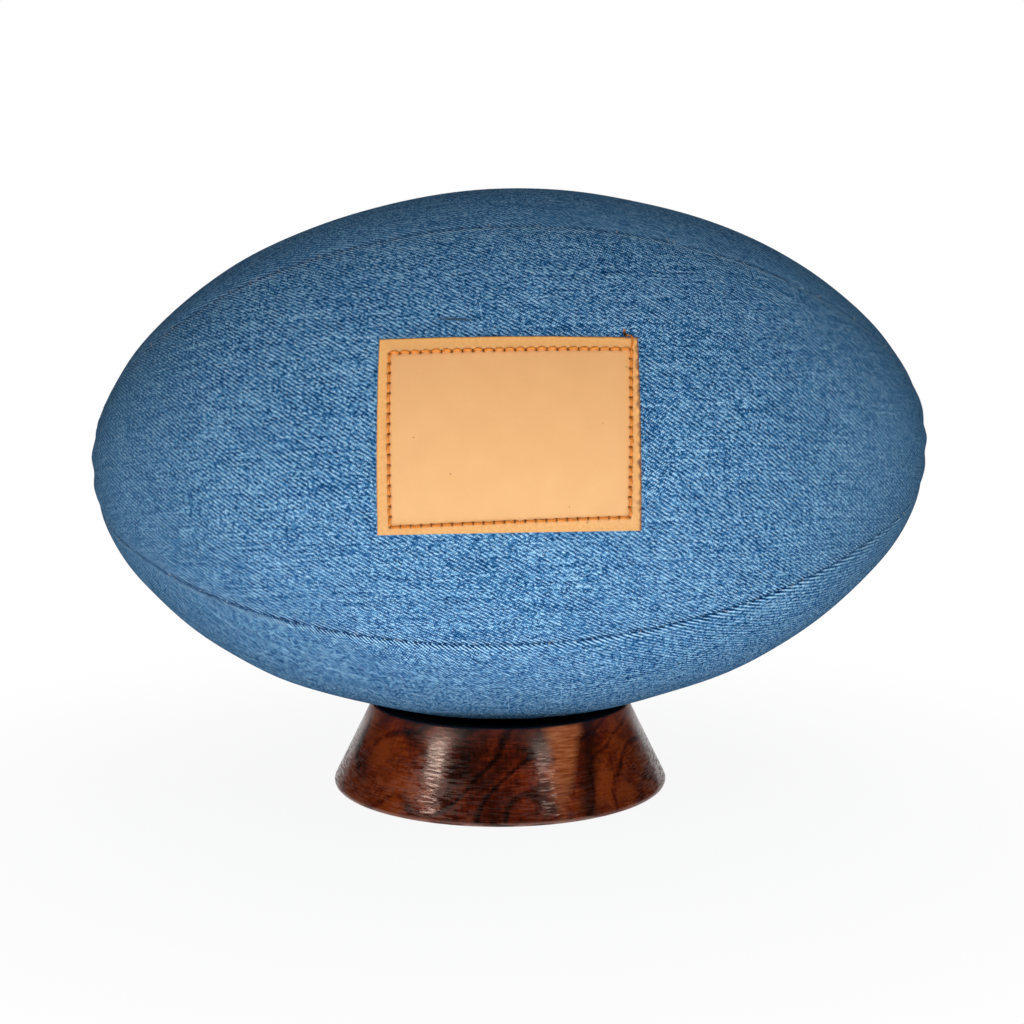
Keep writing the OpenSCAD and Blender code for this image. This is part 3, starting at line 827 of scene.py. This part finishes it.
# height of the outside over the oval: dips towards its seams, puckers between stitches, wanders a little, and
# gathers at the points into a dimple, a puff and ripples round them
def panelSkin(along, across, up, fromEdge, seed):
    tight = relief(seed, panel["puckerRun"], along, panel["puckerApart"] * np.sign(across))
    tight = panel["puckerMean"] + panel["puckerChange"] * tight
    pucker = tight * np.cos(fullTurn * along / panel["puckerPitch"])
    pucker = pucker * np.exp(-fromEdge / panel["puckerReach"])
    pillow = np.exp(-fromEdge / panel["pillowReach"])
    wander = relief(seed + 1, panel["wanderLength"], along, across) * (1 - pillow)
    fromPoint = seamHalf - np.abs(along)
    leftTurn, rightTurn = np.radians(panel["rippleTurns"])
    ripple = np.cos(panel["ripples"] * (up - np.where(along < 0, leftTurn, rightTurn)))
    ripple = ripple * bell(fromPoint, panel["ripplePlace"], panel["rippleReach"])
    gathered = panel["puffHeight"] * bell(fromPoint, panel["puffPlace"], panel["dimpleReach"])
    gathered = gathered - panel["dimpleDepth"] * bell(fromPoint, 0, panel["dimpleReach"])
    gathered = gathered + panel["rippleHeight"] * ripple
    drawnIn = panel["pillowDepth"] * pillow + panel["puckerDepth"] * pucker
    return panel["wander"] * wander + gathered - drawnIn


def addPanel(name, cloth, seed):
    facing = math.radians(ball["rollDegrees"] + cloth["turn"])
    # rows run from point to point, and stop just short of the axis
    s = np.linspace(-1, 1, panel["rows"]) * (seamHalf - panel["axisGap"])
    half, hem, across, depth = panelSection(s, seed)
    along = np.broadcast_to(s[:, None], across.shape)
    up = facing + across / meridian(along)[1]
    fromEdge = np.maximum(0, half[:, None] - np.abs(across))
    outside = depth < panel["clothThickness"] * 0.9
    height = np.where(outside, panelSkin(along, across, up, fromEdge, seed), 0) - depth
    points = onBall(along, up, height).reshape(-1, 3)
    number = np.arange(len(points)).reshape(across.shape)
    faces = [gridFaces(number, ring=True), np.stack([number[0, ::-1], number[-1]])]
    uv = np.stack([along, across], -1).reshape(-1, 2) / mm
    # marks for the finish: a rubbed band beside each seam, and painted shade in the seam's crease
    lowerWear, upperWear = cloth["wear"]
    near = np.where(across > 0, upperWear, lowerWear) * bell(fromEdge, panel["wornPlace"], panel["wornReach"])
    lowerCrease = 1 + panel["creaseGain"] * ease(-along, panel["creaseStart"], panel["creaseFull"])
    crease = np.where(np.sin(up) > 0, panel["upperCrease"], lowerCrease)
    crease = crease * bell(fromEdge, 0, panel["creaseReach"])
    if name == valve["panel"]:
        points, faces, uv = pierce(number, faces, points, uv, facing)
    bare = np.zeros(len(points) - near.size)
    marks = {"seamNear": np.append(near, bare), "paintedSeamShade": np.append(crease, bare)}
    material = denimMaterial("washed_denim_" + name, cloth)
    piece = addPiece(name + "_denim", points, faces, material, "ball", uv, marks)
    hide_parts(name + "_panel")


# fills a window of the grid round a hole: rings that pass from the window's square edge to the circle
def ringFill(number, first, size, places, circle):
    top, left = first
    steps = np.arange(size)
    loop = np.concatenate([
        number[top, left + steps], number[top + steps, left + size],
        number[top + size, left + size - steps], number[top + size - steps, left]])
    edge = places[loop]
    heading = np.arctan2(edge[:, 1], edge[:, 0])
    rim = circle * np.stack([np.cos(heading), np.sin(heading)], -1)
    return loop, np.stack([edge + share * (rim - edge) for share in (*valve["rings"], 1.0)])


# cuts the valve's hole through both faces of a panel: a ring fill on each face, and a wall between them
def pierce(number, faces, points, uv, facing):
    size = valve["window"]
    top = panel["rows"] // 2 - size // 2
    outLeft = panel["columns"] // 2 - size // 2
    inStart = panel["columns"] + panel["cornerSteps"] + 2
    inLeft = inStart + panel["innerColumns"] // 2 - size // 2
    gone = np.zeros(len(points), bool)
    circles, fills, total = [], [], len(points)
    allPoints, allUv = [points], [uv]
    for left, depth, dip in ((outLeft, 0.0, valve["lipDip"]), (inLeft, panel["clothThickness"], 0.0)):
        loop, rings = ringFill(number, (top, left), size, uv * mm, valve["holeRadius"])
        gone[number[top + 1:top + size, left + 1:left + size]] = True
        along, across = rings[..., 0], rings[..., 1]
        up = facing + across / meridian(along)[1]
        sunk = np.full((len(rings), 1), depth)
        sunk[-1] += dip
        allPoints.append(onBall(along, up, -sunk).reshape(-1, 3))
        allUv.append(rings.reshape(-1, 2) / mm)
        added = total + np.arange(along.size).reshape(along.shape)
        total += added.size
        fills.append(gridFaces(np.concatenate([loop[None], added]), ring=True))
        circles.append(added[-1])
    skin, caps = faces
    kept = skin[~gone[skin].any(axis=1)]
    points, uv = np.concatenate(allPoints), np.concatenate(allUv)
    inner = circles[1][::-1]
    shift = int(np.argmin(np.linalg.norm(uv[inner] - uv[circles[0][0]], axis=1)))
    wall = gridFaces(np.stack([circles[0], np.roll(inner, -shift)]), ring=True)
    return points, [kept, caps, *fills, wall], uv


for order, (name, cloth) in enumerate(panels.items()):
    addPanel(name, cloth, panel["firstSeed"] + panel["seedStep"] * order)
print("denim panels made")


# Seam threads

# stitches sunk in each seam, and ends of undyed yarn that stand out of the cut edges
seam = {
    "turns": {"front_top": 45, "back_top": 135, "back_bottom": -135, "front_bottom": -45},
    "threadDiameter": 0.5 * mm,
    "pitch": 4.5 * mm,
    "stitch": 3.2 * mm,
    "sink": 0.74 * mm,
    "endSink": 0.4 * mm,
    "endTaper": 0.25,
    "alongJitter": 0.15 * mm,
    "sinkJitter": 0.12 * mm,
    "sideJitter": 0.08 * mm,
    "sides": 6,
    "rings": 7,
    "fibres": 30,
    "fibreDiameter": 0.16 * mm,
    "fibreSpread": 0.93,
    "fibreReach": (0.5, 1.5),
    "fibreLean": 0.7 * mm,
    "fibreStart": -0.6 * mm,
    "fibreRise": 0.72 * mm,
    "fibreBow": 0.62,
    "fibreTaper": 0.5,
    "fibreSides": 4,
    "fibreRings": 4,
    "leastGirth": 5 * mm,
    "firstSeed": 60,
}
# slanted loops that close the middle of one seam by hand
closing = {
    "seam": "back_top",
    "length": 90 * mm,
    "pitch": 4 * mm,
    "reach": 2.6 * mm,
    "slantDegrees": 14,
    "height": 0.12 * mm,
    "plunge": 0.55 * mm,
    "rings": 9,
}


# evenly spaced places about the middle of a seam
def evenPlaces(length, pitch):
    count = math.floor(length / pitch)
    return (np.arange(count) - (count - 1) / 2) * pitch


def addSeam(name, facing, seed, openLength):
    random = np.random.default_rng(seed)
    middle = evenPlaces(2 * seamHalf - seam["pitch"], seam["pitch"])
    if openLength:
        middle = middle[np.abs(middle) > (openLength + seam["pitch"]) / 2]
    each = (len(middle), 1)
    t = np.linspace(-1, 1, seam["rings"])
    along = middle[:, None] + t * seam["stitch"] / 2 + random.normal(0, seam["alongJitter"], each)
    sink = seam["sink"] + random.uniform(-1, 1, each) * seam["sinkJitter"] + seam["endSink"] * t ** 6
    up = facing + random.normal(0, seam["sideJitter"], each) / halfDiameter
    radius = seam["threadDiameter"] / 2 * (1 - seam["endTaper"] * t ** 8)
    points, faces, uv = strands(onBall(along, up, -sink), offBall(along, up), radius, seam["sides"])
    threads = addPiece(name + "_stitches", points, faces, seamThread, "ball", uv)
    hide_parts(name + "_thread")
    # loose fibres: short bows that leave the groove and lie over one edge
    each = (seam["fibres"], 1)
    place = random.uniform(-1, 1, each) * seam["fibreSpread"] * seamHalf
    reach = random.uniform(*seam["fibreReach"], each) * mm * random.choice([-1, 1], each)
    lean = random.normal(0, seam["fibreLean"], each)
    bow = np.linspace(0, 1, seam["fibreRings"])
    along = place + lean * bow
    up = facing + reach * bow / np.maximum(meridian(along)[1], seam["leastGirth"])
    lift = seam["fibreStart"] + seam["fibreRise"] * np.sin(bow * math.pi * seam["fibreBow"])
    radius = seam["fibreDiameter"] / 2 * (1 - seam["fibreTaper"] * bow)
    points, faces, uv = strands(onBall(along, up, lift), offBall(along, up), radius, seam["fibreSides"])
    addPiece(name + "_yarn_ends", points, faces, cottonFibre, "ball", uv)


def addClosing(facing):
    slant = math.radians(closing["slantDegrees"])
    t = np.linspace(-1, 1, closing["rings"])
    middle = evenPlaces(closing["length"], closing["pitch"])[:, None]
    along = middle + t * closing["reach"] / 2 * math.sin(slant)
    up = facing + t * closing["reach"] / 2 * math.cos(slant) / halfDiameter
    height = closing["height"] - closing["plunge"] * t ** 4
    points, faces, uv = strands(
        onBall(along, up, height), offBall(along, up), seam["threadDiameter"] / 2, seam["sides"])
    loops = addPiece("closing_stitches", points, faces, seamThread, "ball", uv)
    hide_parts("closing_thread")


for order, (name, turn) in enumerate(seam["turns"].items()):
    openLength = closing["length"] if name == closing["seam"] else 0
    addSeam(name, math.radians(ball["rollDegrees"] + turn), seam["firstSeed"] + order, openLength)
addClosing(math.radians(ball["rollDegrees"] + seam["turns"][closing["seam"]]))
print("seams sewn")


# Leather patch

# hand-cut rectangle sewn on the front panel; corners are millimetres along and up in the plane that it faces,
# and four values in a row are for its left, right, bottom and top edge
patch = {
    "facing": math.radians(7.3),
    "width": 77 * mm,
    "height": 58 * mm,
    "corners": {
        "topLeft": (-35.8, 29.3), "topRight": (40.1, 27.4),
        "bottomRight": (39.2, -28.9), "bottomLeft": (-38.0, -27.8)},
    "stitchCorners": {
        "topLeft": (-32.7, 24.8), "topRight": (37.7, 23.8),
        "bottomRight": (35.7, -24.8), "bottomLeft": (-34.0, -25.5)},
    "thickness": 1.6 * mm,
    "glue": 0.1 * mm,
    "edgeRound": 0.45 * mm,
    "cell": 0.3 * mm,
    "wallShares": (0.4, 0.0),
    "underShares": (0.85, 0.6, 0.3),
    "wave": 0.04 * mm,
    "waveLength": 11 * mm,
    "waveSeed": 90,
    "furrowDepth": 0.15 * mm,
    "furrowWidth": 0.8 * mm,
    "holeDepth": 0.8 * mm,
    "holeRadius": 0.5 * mm,
    "marginWidth": 4.5 * mm,
    "faceBurnish": (0.1, 1.0, 0.1, 0.1),
    "faceBurnishRight": (0, 0, 0, 0.6),  # more of it on the right half
    "cutBurnish": (0.45, 1.0, 0.4, 0.45),
    "cutBurnishRight": (0, 0, 0, 0.55),
    "burnishReach": (0.4, 1.0, 0.4, 0.6),
    "burnishWobble": 4 * mm,
    "burnishSeed": 91,
}
# waxed stitches of the patch
patchStitch = {
    "across": 23,
    "up": 17,
    "diameter": 0.8 * mm,
    "sides": 8,
    "rings": 9,
    "inset": 0.08,
    "seat": 0.28,
    "arch": 0.55 * mm,
    "plunge": 1.3 * mm,
    "taper": 0.3,
    "heightJitter": (-0.05, 0.08),
    "slack": 0.07 * mm,
    "thickJitter": (0.92, 1.06),
    "seed": 93,
}
# loose end of the last stitch: over the top edge of the leather, a burnt bead beside it and a short stub;
# each knot is millimetres along and up in the patch's plane, height, radius and how charred it is
looseEnd = {
    "knots": (
        (37.9, 24.1, 1.1, 0.36, 0), (38.1, 25.0, 1.95, 0.38, 0), (38.2, 26.2, 2.1, 0.36, 0),
        (38.2, 27.2, 2.05, 0.26, 0), (37.8, 27.9, 1.5, 0.16, 0), (37.2, 28.2, 0.9, 0.2, 0.2),
        (36.6, 28.4, 0.6, 0.55, 1), (36.3, 28.9, 0.7, 0.5, 1), (36.3, 29.4, 0.8, 0.4, 0.35),
        (36.3, 30.1, 0.8, 0.36, 0.3)),
    "rings": 37,
}


# place inside four corners: left to right and bottom to top shares, blended evenly between them
def within(corners, right, up):
    topLeft, topRight, bottomRight, bottomLeft = (
        np.array(corners[key]) for key in ("topLeft", "topRight", "bottomRight", "bottomLeft"))
    right, up = right[..., None], up[..., None]
    bottom = (1 - right) * bottomLeft + right * bottomRight
    return (1 - up) * bottom + up * ((1 - right) * topLeft + right * topRight)


# millimetres in the patch's plane, dropped square onto the ball, as metres along and metres round it
def flatPlace(place):
    along = sideRadius * np.arcsin(place[..., 0] * mm / sideRadius)
    turn = np.arcsin(place[..., 1] * mm / meridian(along)[1])
    return np.stack([along, (patch["facing"] + turn) * halfDiameter], -1)


def onSkin(flat, height):
    return onBall(flat[..., 0], flat[..., 1] / halfDiameter, height)


def offSkin(flat):
    return offBall(flat[..., 0], flat[..., 1] / halfDiameter)


# one row of needle holes along each side, from corner to corner
def needleRows():
    corners = {key: np.array(place) for key, place in patch["stitchCorners"].items()}
    rows = []
    for start, end, count in (
            ("topLeft", "topRight", patchStitch["across"]),
            ("topRight", "bottomRight", patchStitch["up"]),
            ("bottomRight", "bottomLeft", patchStitch["across"]),
            ("bottomLeft", "topLeft", patchStitch["up"])):
        share = np.linspace(0, 1, count + 1)[:, None]
        rows.append(flatPlace(corners[start] * (1 - share) + corners[end] * share))
    return np.concatenate([row[:-1] for row in rows]), np.concatenate([row[1:] for row in rows])


holes, nextHoles = needleRows()


# a grid over the face, rounded at its edge and pressed in along the stitches, then rings down the cut edge
# and in under the leather to its middle
def addPatch():
    wide, high, glue = patch["width"], patch["height"], patch["glue"]
    columns, rows = round(wide / patch["cell"]), round(high / patch["cell"])
    right, up = np.meshgrid(np.linspace(0, 1, columns), np.linspace(0, 1, rows), indexing="xy")
    flat = flatPlace(within(patch["corners"], right, up))
    fromSide = np.stack([right * wide, (1 - right) * wide, up * high, (1 - up) * high])
    fromEdge = fromSide.min(axis=0)
    toHole = np.sqrt(((flat[:, :, None] - holes) ** 2).sum(-1)).min(axis=2)
    toRow = np.full(fromEdge.shape, np.inf)
    for start, end in zip(holes, nextHoles):
        way = end - start
        share = np.clip(((flat - start) @ way) / (way @ way), 0, 1)[..., None]
        toRow = np.minimum(toRow, np.linalg.norm(flat - start - share * way, axis=-1))
    pit = bell(toHole, 0, patch["holeRadius"])
    roundOff = np.clip(1 - fromEdge / patch["edgeRound"], 0, 1)
    top = glue + patch["thickness"] - patch["edgeRound"] * (1 - np.sqrt(1 - roundOff ** 2))
    top = top + patch["wave"] * relief(patch["waveSeed"], patch["waveLength"], flat[..., 0], flat[..., 1])
    top = top - patch["furrowDepth"] * bell(toRow, 0, patch["furrowWidth"]) - patch["holeDepth"] * pit
    number = np.arange(columns * rows).reshape(rows, columns)
    rim = np.concatenate([number[0, :-1], number[:-1, -1], number[-1, :0:-1], number[:0:-1, 0]])
    rimFlat = flat.reshape(-1, 2)[rim]
    middle = rimFlat.mean(axis=0)
    rings = [(rimFlat, glue + patch["thickness"] * share) for share in patch["wallShares"]]
    rings += [(middle + share * (rimFlat - middle), glue) for share in patch["underShares"]]
    under = np.stack([onSkin(place, height) for place, height in rings])
    points = np.concatenate([
        onSkin(flat, top).reshape(-1, 3), under.reshape(-1, 3), onSkin(middle[None], glue)])
    uv = np.concatenate([flat.reshape(-1, 2), *(place for place, height in rings), middle[None]]) / mm
    ringNumber = number.size + np.arange(len(rings) * len(rim)).reshape(len(rings), len(rim))
    ringNumber = np.concatenate([rim[None], ringNumber])
    fan = np.stack([np.full(len(rim), len(points) - 1), np.roll(ringNumber[-1], -1), ringNumber[-1]], -1)
    faces = [gridFaces(number), gridFaces(ringNumber, ring=True)[:, ::-1], fan]
    # burnish is strongest on the right cut edge and the right half of the top one
    face, faceRight, reach = (
        np.array(patch[key])[:, None, None] for key in ("faceBurnish", "faceBurnishRight", "burnishReach"))
    weight = face + faceRight * np.clip(2.2 * right - 1.1, 0, 1)
    wobble = relief(patch["burnishSeed"], patch["burnishWobble"], flat[..., 0], flat[..., 1])
    wobble = np.clip(0.75 + 0.35 * wobble, 0.3, 1.5)
    burnish = (weight * np.clip(1.6 - fromSide / (reach * mm * wobble), 0, 1)).max(axis=0)
    rimSide = np.argmin(fromSide.reshape(4, -1)[:, rim], axis=0)
    cutBurnish = np.array(patch["cutBurnish"])[rimSide]
    cutBurnish = cutBurnish + np.array(patch["cutBurnishRight"])[rimSide] * right.ravel()[rim]
    # each mark has its values on the face and on the cut edge, and none underneath
    hidden = np.zeros(len(points) - number.size - 2 * len(rim))
    onFace = {
        "burnish": (burnish, cutBurnish),
        "needleHoleShade": (np.clip(2.2 * pit - 0.4, 0, 1), np.zeros(len(rim))),
        "margin": (np.clip(1.2 - fromEdge / patch["marginWidth"], 0, 1), np.ones(len(rim))),
    }
    marks = {
        mark: np.concatenate([values.ravel(), cut, cut, hidden]) for mark, (values, cut) in onFace.items()}
    piece = addPiece("patch_leather", points, faces, tannedLeather, "ball", uv, marks)
    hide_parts("leather_patch")


# waxed stitches: each rises out of one hole, arches over the leather and goes down the next
def addPatchStitches():
    random = np.random.default_rng(patchStitch["seed"])
    each = (len(holes), 1)
    t = np.linspace(0, 1, patchStitch["rings"])
    share = patchStitch["inset"] + (1 - 2 * patchStitch["inset"]) * t
    surface = patch["glue"] + patch["thickness"] - patch["furrowDepth"]
    arch = surface + patchStitch["diameter"] * patchStitch["seat"] + patchStitch["arch"] * np.sin(math.pi * t)
    arch = arch - patchStitch["plunge"] * (2 * t - 1) ** 4
    arch = arch + random.uniform(*patchStitch["heightJitter"], each) * mm
    slack = random.normal(0, patchStitch["slack"], (*each, 2)) * np.sin(math.pi * t)[:, None]
    route = holes[:, None] + (nextHoles - holes)[:, None] * share[:, None] + slack
    thick = patchStitch["diameter"] / 2 * (1 - patchStitch["taper"] * (2 * t - 1) ** 6)
    thick = thick * random.uniform(*patchStitch["thickJitter"], each)
    points, faces, uv = strands(onSkin(route, arch), offSkin(route), thick, patchStitch["sides"])
    # the loose end is one more strand
    knots = np.array(looseEnd["knots"])
    fine = np.linspace(0, len(knots) - 1, looseEnd["rings"])
    tail = np.stack([np.interp(fine, np.arange(len(knots)), column) for column in knots.T], -1)
    tailFlat = flatPlace(tail[:, :2])
    tailPoints, tailFaces, tailUv = strands(
        onSkin(tailFlat, tail[:, 2] * mm)[None], offSkin(tailFlat)[None], tail[None, :, 3] * mm,
        patchStitch["sides"])
    charred = np.append(np.zeros(len(points)), np.repeat(tail[:, 4], patchStitch["sides"]))
    faces = [np.concatenate([f, g + len(points)]) for f, g in zip(faces, tailFaces)]
    points, uv = np.concatenate([points, tailPoints]), np.concatenate([uv, tailUv])
    piece = addPiece("patch_stitches", points, faces, waxedThread, "ball", uv, {"charred": charred})
    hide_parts("patch_thread")


addPatch()
addPatchStitches()
print("leather patch sewn on")


# Stand

# turned cone with softened edges, a bare lip and a dish that the felt lines
stand = {
    "lip": 1 * mm,
    "lipBreak": 0.15 * mm,
    "feltThickness": 1.2 * mm,
    "feltRound": 0.45 * mm,
    "glue": 0.1 * mm,
    "seatEase": 0.3 * mm,  # the seat's radius over the ball's
    "footRound": 1.2 * mm,
    "rimRound": 0.5 * mm,
    "rimOut": 0.1 * mm,
    "segments": 256,
    "underRings": 12,
    "sideRings": 26,
    "dishRings": 24,
    "feltRings": 30,
}
standHigh = np.array(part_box("stand_body")[1])
feltLow, feltHigh = (np.array(corner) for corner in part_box("seat_felt"))
baseRadius, standHeight = standHigh[0], standHigh[2]
feltRadius = feltHigh[0]
lipInner = feltRadius + stand["glue"]
rimRadius = lipInner + stand["lip"]
seatRadius = sideRadius + stand["seatEase"]
seatCentre = feltLow[2] + seatRadius + stand["feltThickness"]
slope = math.degrees(math.atan2(baseRadius - rimRadius, standHeight))


# dish or felt surface: part of a sphere about the seat's centre, from an edge radius in to the axis
def dished(bowl, edge, count):
    radius = edge * np.linspace(1, 0, count)
    return np.stack([radius, seatCentre - np.sqrt(bowl ** 2 - radius ** 2)], -1)


# flat underside, round foot, sloping side, round rim, lip and dish, from the axis out and back
def standProfile():
    foot, rim, lipBreak = stand["footRound"], stand["rimRound"], stand["lipBreak"]
    footCentre = np.array([baseRadius - foot * math.tan(math.radians(45 + slope / 2)), foot])
    rimInset = rim * math.tan(math.radians(45 - slope / 2)) - stand["rimOut"]
    rimCentre = np.array([rimRadius - rimInset, standHeight - rim])
    underside = np.linspace(0.1, 0.97, stand["underRings"]) * footCentre[0]
    footEnd = footCentre + foot * direction(slope)
    side = np.linspace(footEnd, rimCentre + rim * direction(slope), stand["sideRings"])
    return np.concatenate([
        [[0, 0]],
        np.stack([underside, np.zeros_like(underside)], -1),
        arc(footCentre, foot, -90, slope, 8),
        side[1:-1],
        arc(rimCentre, rim, slope, 90, 6),
        [[lipInner + lipBreak, standHeight], [lipInner, standHeight - lipBreak]],
        dished(seatRadius + stand["feltThickness"] + stand["glue"], lipInner, stand["dishRings"]),
    ])


# pressed felt: flush with the lip, its upper edge worn round
def feltProfile():
    edge = stand["feltRound"]
    over = dished(seatRadius, feltRadius - edge, stand["feltRings"])
    below = dished(seatRadius + stand["feltThickness"], feltRadius, stand["feltRings"])[::-1]
    worn = arc(np.array([feltRadius - edge, over[0, 1] - edge]), edge, 0, 90, 6)
    return np.concatenate([below, worn[:-1], over])


standPiece = addPiece("stand_wood", *turned(standProfile(), stand["segments"]), varnishedWood, "stand")
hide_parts("stand_body")
feltPiece = addPiece("seat_felt_pad", *turned(feltProfile(), stand["segments"]), felt, "stand")
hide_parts("seat_felt")
print("stand turned and lined")


# Inner parts keep their solids and get their finish
for names, material in (
        (("front_lining", "top_lining", "back_lining", "bottom_lining"), canvas),
        (("bladder", "valve_backing"), bladderRubber), (("valve_body", "valve_plug"), valveRubber)):
    for name in names:
        nodes[name].data.materials.clear()
        nodes[name].data.materials.append(material)
print("inner parts finished")


# Light and floor

# low soft light from the front over a pale table, with bounce from below, a weak cool top light, and the same
# low light behind for the back; two tall warm cards only give the varnish its highlights
studio = {
    "aim": (0, 0, 0.1),
    "lamps": {
        "front_strip": {"azimuth": 0, "elevation": -2, "distance": 1.0, "size": (0.3, 0.12), "power": 4.1},
        "front_left": {"azimuth": -24, "elevation": 6, "distance": 1.3, "size": (0.4, 0.3), "power": 1.6},
        "top_right": {"azimuth": 40, "elevation": 65, "distance": 1.3, "size": (0.6, 0.6), "power": 3.0},
        "back_strip": {"azimuth": 180, "elevation": -2, "distance": 1.0, "size": (0.3, 0.12), "power": 4.1},
        "back_left": {"azimuth": 156, "elevation": 6, "distance": 1.3, "size": (0.4, 0.3), "power": 1.6},
        "left_card": {"azimuth": -54, "elevation": 33, "distance": 1.1, "size": (0.24, 0.3), "power": 4.8},
        "right_card": {"azimuth": 38, "elevation": 35, "distance": 1.1, "size": (0.2, 0.3), "power": 1.35},
    },
    "bounces": {
        "table_bounce": {"place": (0, -0.45, 0.003), "size": (0.7, 0.5), "power": 1.5},
        "near_bounce": {"place": (0, -0.14, 0.003), "size": (0.4, 0.12), "power": 0.2},
        "back_bounce": {"place": (0, 0.45, 0.003), "size": (0.7, 0.5), "power": 1.5},
    },
    "cards": ("left_card", "right_card"),
    "colours": {"top_right": "#EEF8FF", "left_card": "#FFDCCB", "right_card": "#FFDCCB"},
    "floorRings": (0.05, 0.3, 1.0, 2.5),
    "floorSegments": 96,
    "floorColour": "#F2F2F2",
    "floorGlow": 0.92,
    "glowNear": 0.06,
    "glowFar": 0.3,
    "roomLight": 0.06,
    "roomGloss": 0.02,
    "backdropStart": 0.7,
    "backdropFull": 0.95,
}


# matt table that takes the shadow, whitened to the eye and in reflections, fully so away from the stand
def floorMaterial():
    material, tree = newTree("pale_table")
    place = addNode(tree, "TexCoord", {})
    away = addNode(tree, "VectorMath", {0: place.outputs["Object"]}, operation="LENGTH")
    far = addNode(tree, "MapRange", {
        0: away.outputs["Value"], 1: studio["glowNear"], 2: studio["glowFar"], 3: studio["floorGlow"], 4: 1},
        interpolation_type="SMOOTHSTEP")
    path = addNode(tree, "LightPath", {})
    seen = addNode(tree, "Math", {
        0: path.outputs["Is Camera Ray"], 1: path.outputs["Is Glossy Ray"]}, operation="MAXIMUM")
    through = addNode(tree, "Math", {0: seen, 1: path.outputs["Is Transmission Ray"]}, operation="MAXIMUM")
    white = addNode(tree, "Math", {0: through, 1: far}, operation="MULTIPLY")
    matt = addNode(tree, "BsdfDiffuse", {"Color": linear(studio["floorColour"])})
    glow = addNode(tree, "Emission", {"Color": (1, 1, 1, 1), "Strength": 1})
    mixed = addNode(tree, "MixShader", {0: white, 1: matt, 2: glow})
    addNode(tree, "OutputMaterial", {"Surface": mixed})
    return material


# round table top: rings of points about a middle one
def addFloor():
    segments = studio["floorSegments"]
    turn = np.arange(segments) * fullTurn / segments
    radius = np.array(studio["floorRings"])[:, None]
    rings = np.stack(np.broadcast_arrays(radius * np.cos(turn), radius * np.sin(turn), 0.0), -1)
    number = 1 + np.arange(rings[..., 0].size).reshape(rings.shape[:2])
    fan = np.stack([np.zeros(segments, int), number[0], np.roll(number[0], -1)], -1)
    faces = gridFaces(number, ring=True)[:, ::-1].tolist() + fan.tolist()
    mesh = bpy.data.meshes.new("floor")
    mesh.from_pydata([[0, 0, 0], *rings.reshape(-1, 3).tolist()], [], faces)
    mesh.materials.append(floorMaterial())
    floor = bpy.data.objects.new("floor", mesh)
    bpy.context.scene.collection.objects.link(floor)


# soft rectangular lamp that faces along a turn; a card shows in gloss alone, and the others don't
def addLamp(name, lamp, place, turn):
    card = name in studio["cards"]
    light = bpy.data.lights.new(name, "AREA")
    light.shape = "RECTANGLE"
    light.size, light.size_y = lamp["size"]
    light.energy = lamp["power"]
    light.color = linear(studio["colours"].get(name, "#FFFFFF"))[:3]
    lightObject = bpy.data.objects.new(name, light)
    lightObject.location = place
    lightObject.rotation_euler = turn
    lightObject.visible_camera = False
    lightObject.visible_glossy = card
    lightObject.visible_diffuse = not card
    bpy.context.scene.collection.objects.link(lightObject)


# room: dim in front of the part, white behind it where the eye and reflections see the backdrop
def addRoom():
    world = bpy.data.worlds.new("studio")
    bpy.context.scene.world = world
    world.use_nodes = True
    tree = world.node_tree
    tree.nodes.clear()
    path = addNode(tree, "LightPath", {})
    heading = addNode(tree, "TexCoord", {})
    axes = addNode(tree, "SeparateXYZ", {0: heading.outputs["Generated"]})
    behind = addNode(tree, "MapRange", {
        0: axes.outputs[1], 1: studio["backdropStart"], 2: studio["backdropFull"], 3: 0, 4: 1},
        interpolation_type="SMOOTHSTEP")
    mirrored = addNode(tree, "Math", {
        0: path.outputs["Is Glossy Ray"], 1: path.outputs["Is Transmission Ray"]}, operation="MAXIMUM")
    reflected = addNode(tree, "Math", {0: mirrored, 1: behind}, operation="MULTIPLY")
    seen = addNode(tree, "Math", {0: path.outputs["Is Camera Ray"], 1: reflected}, operation="MAXIMUM")
    dim = addNode(tree, "MapRange", {
        0: path.outputs["Is Glossy Ray"], 3: studio["roomLight"], 4: studio["roomGloss"]})
    room = addNode(tree, "Background", {"Color": (1, 1, 1, 1), "Strength": dim})
    white = addNode(tree, "Background", {"Color": (1, 1, 1, 1), "Strength": 1})
    shown = addNode(tree, "MixShader", {0: seen, 1: room, 2: white})
    addNode(tree, "OutputWorld", {"Surface": shown})


addFloor()
for name, lamp in studio["lamps"].items():
    azimuth, elevation = math.radians(lamp["azimuth"]), math.radians(lamp["elevation"])
    level = math.cos(elevation)
    back = np.array([math.sin(azimuth) * level, -math.cos(azimuth) * level, math.sin(elevation)])
    place = np.array(studio["aim"]) + lamp["distance"] * back
    addLamp(name, lamp, place, (math.pi / 2 - elevation, 0, azimuth))
for name, lamp in studio["bounces"].items():
    addLamp(name, lamp, lamp["place"], (math.pi, 0, 0))
addRoom()
print("lights set")
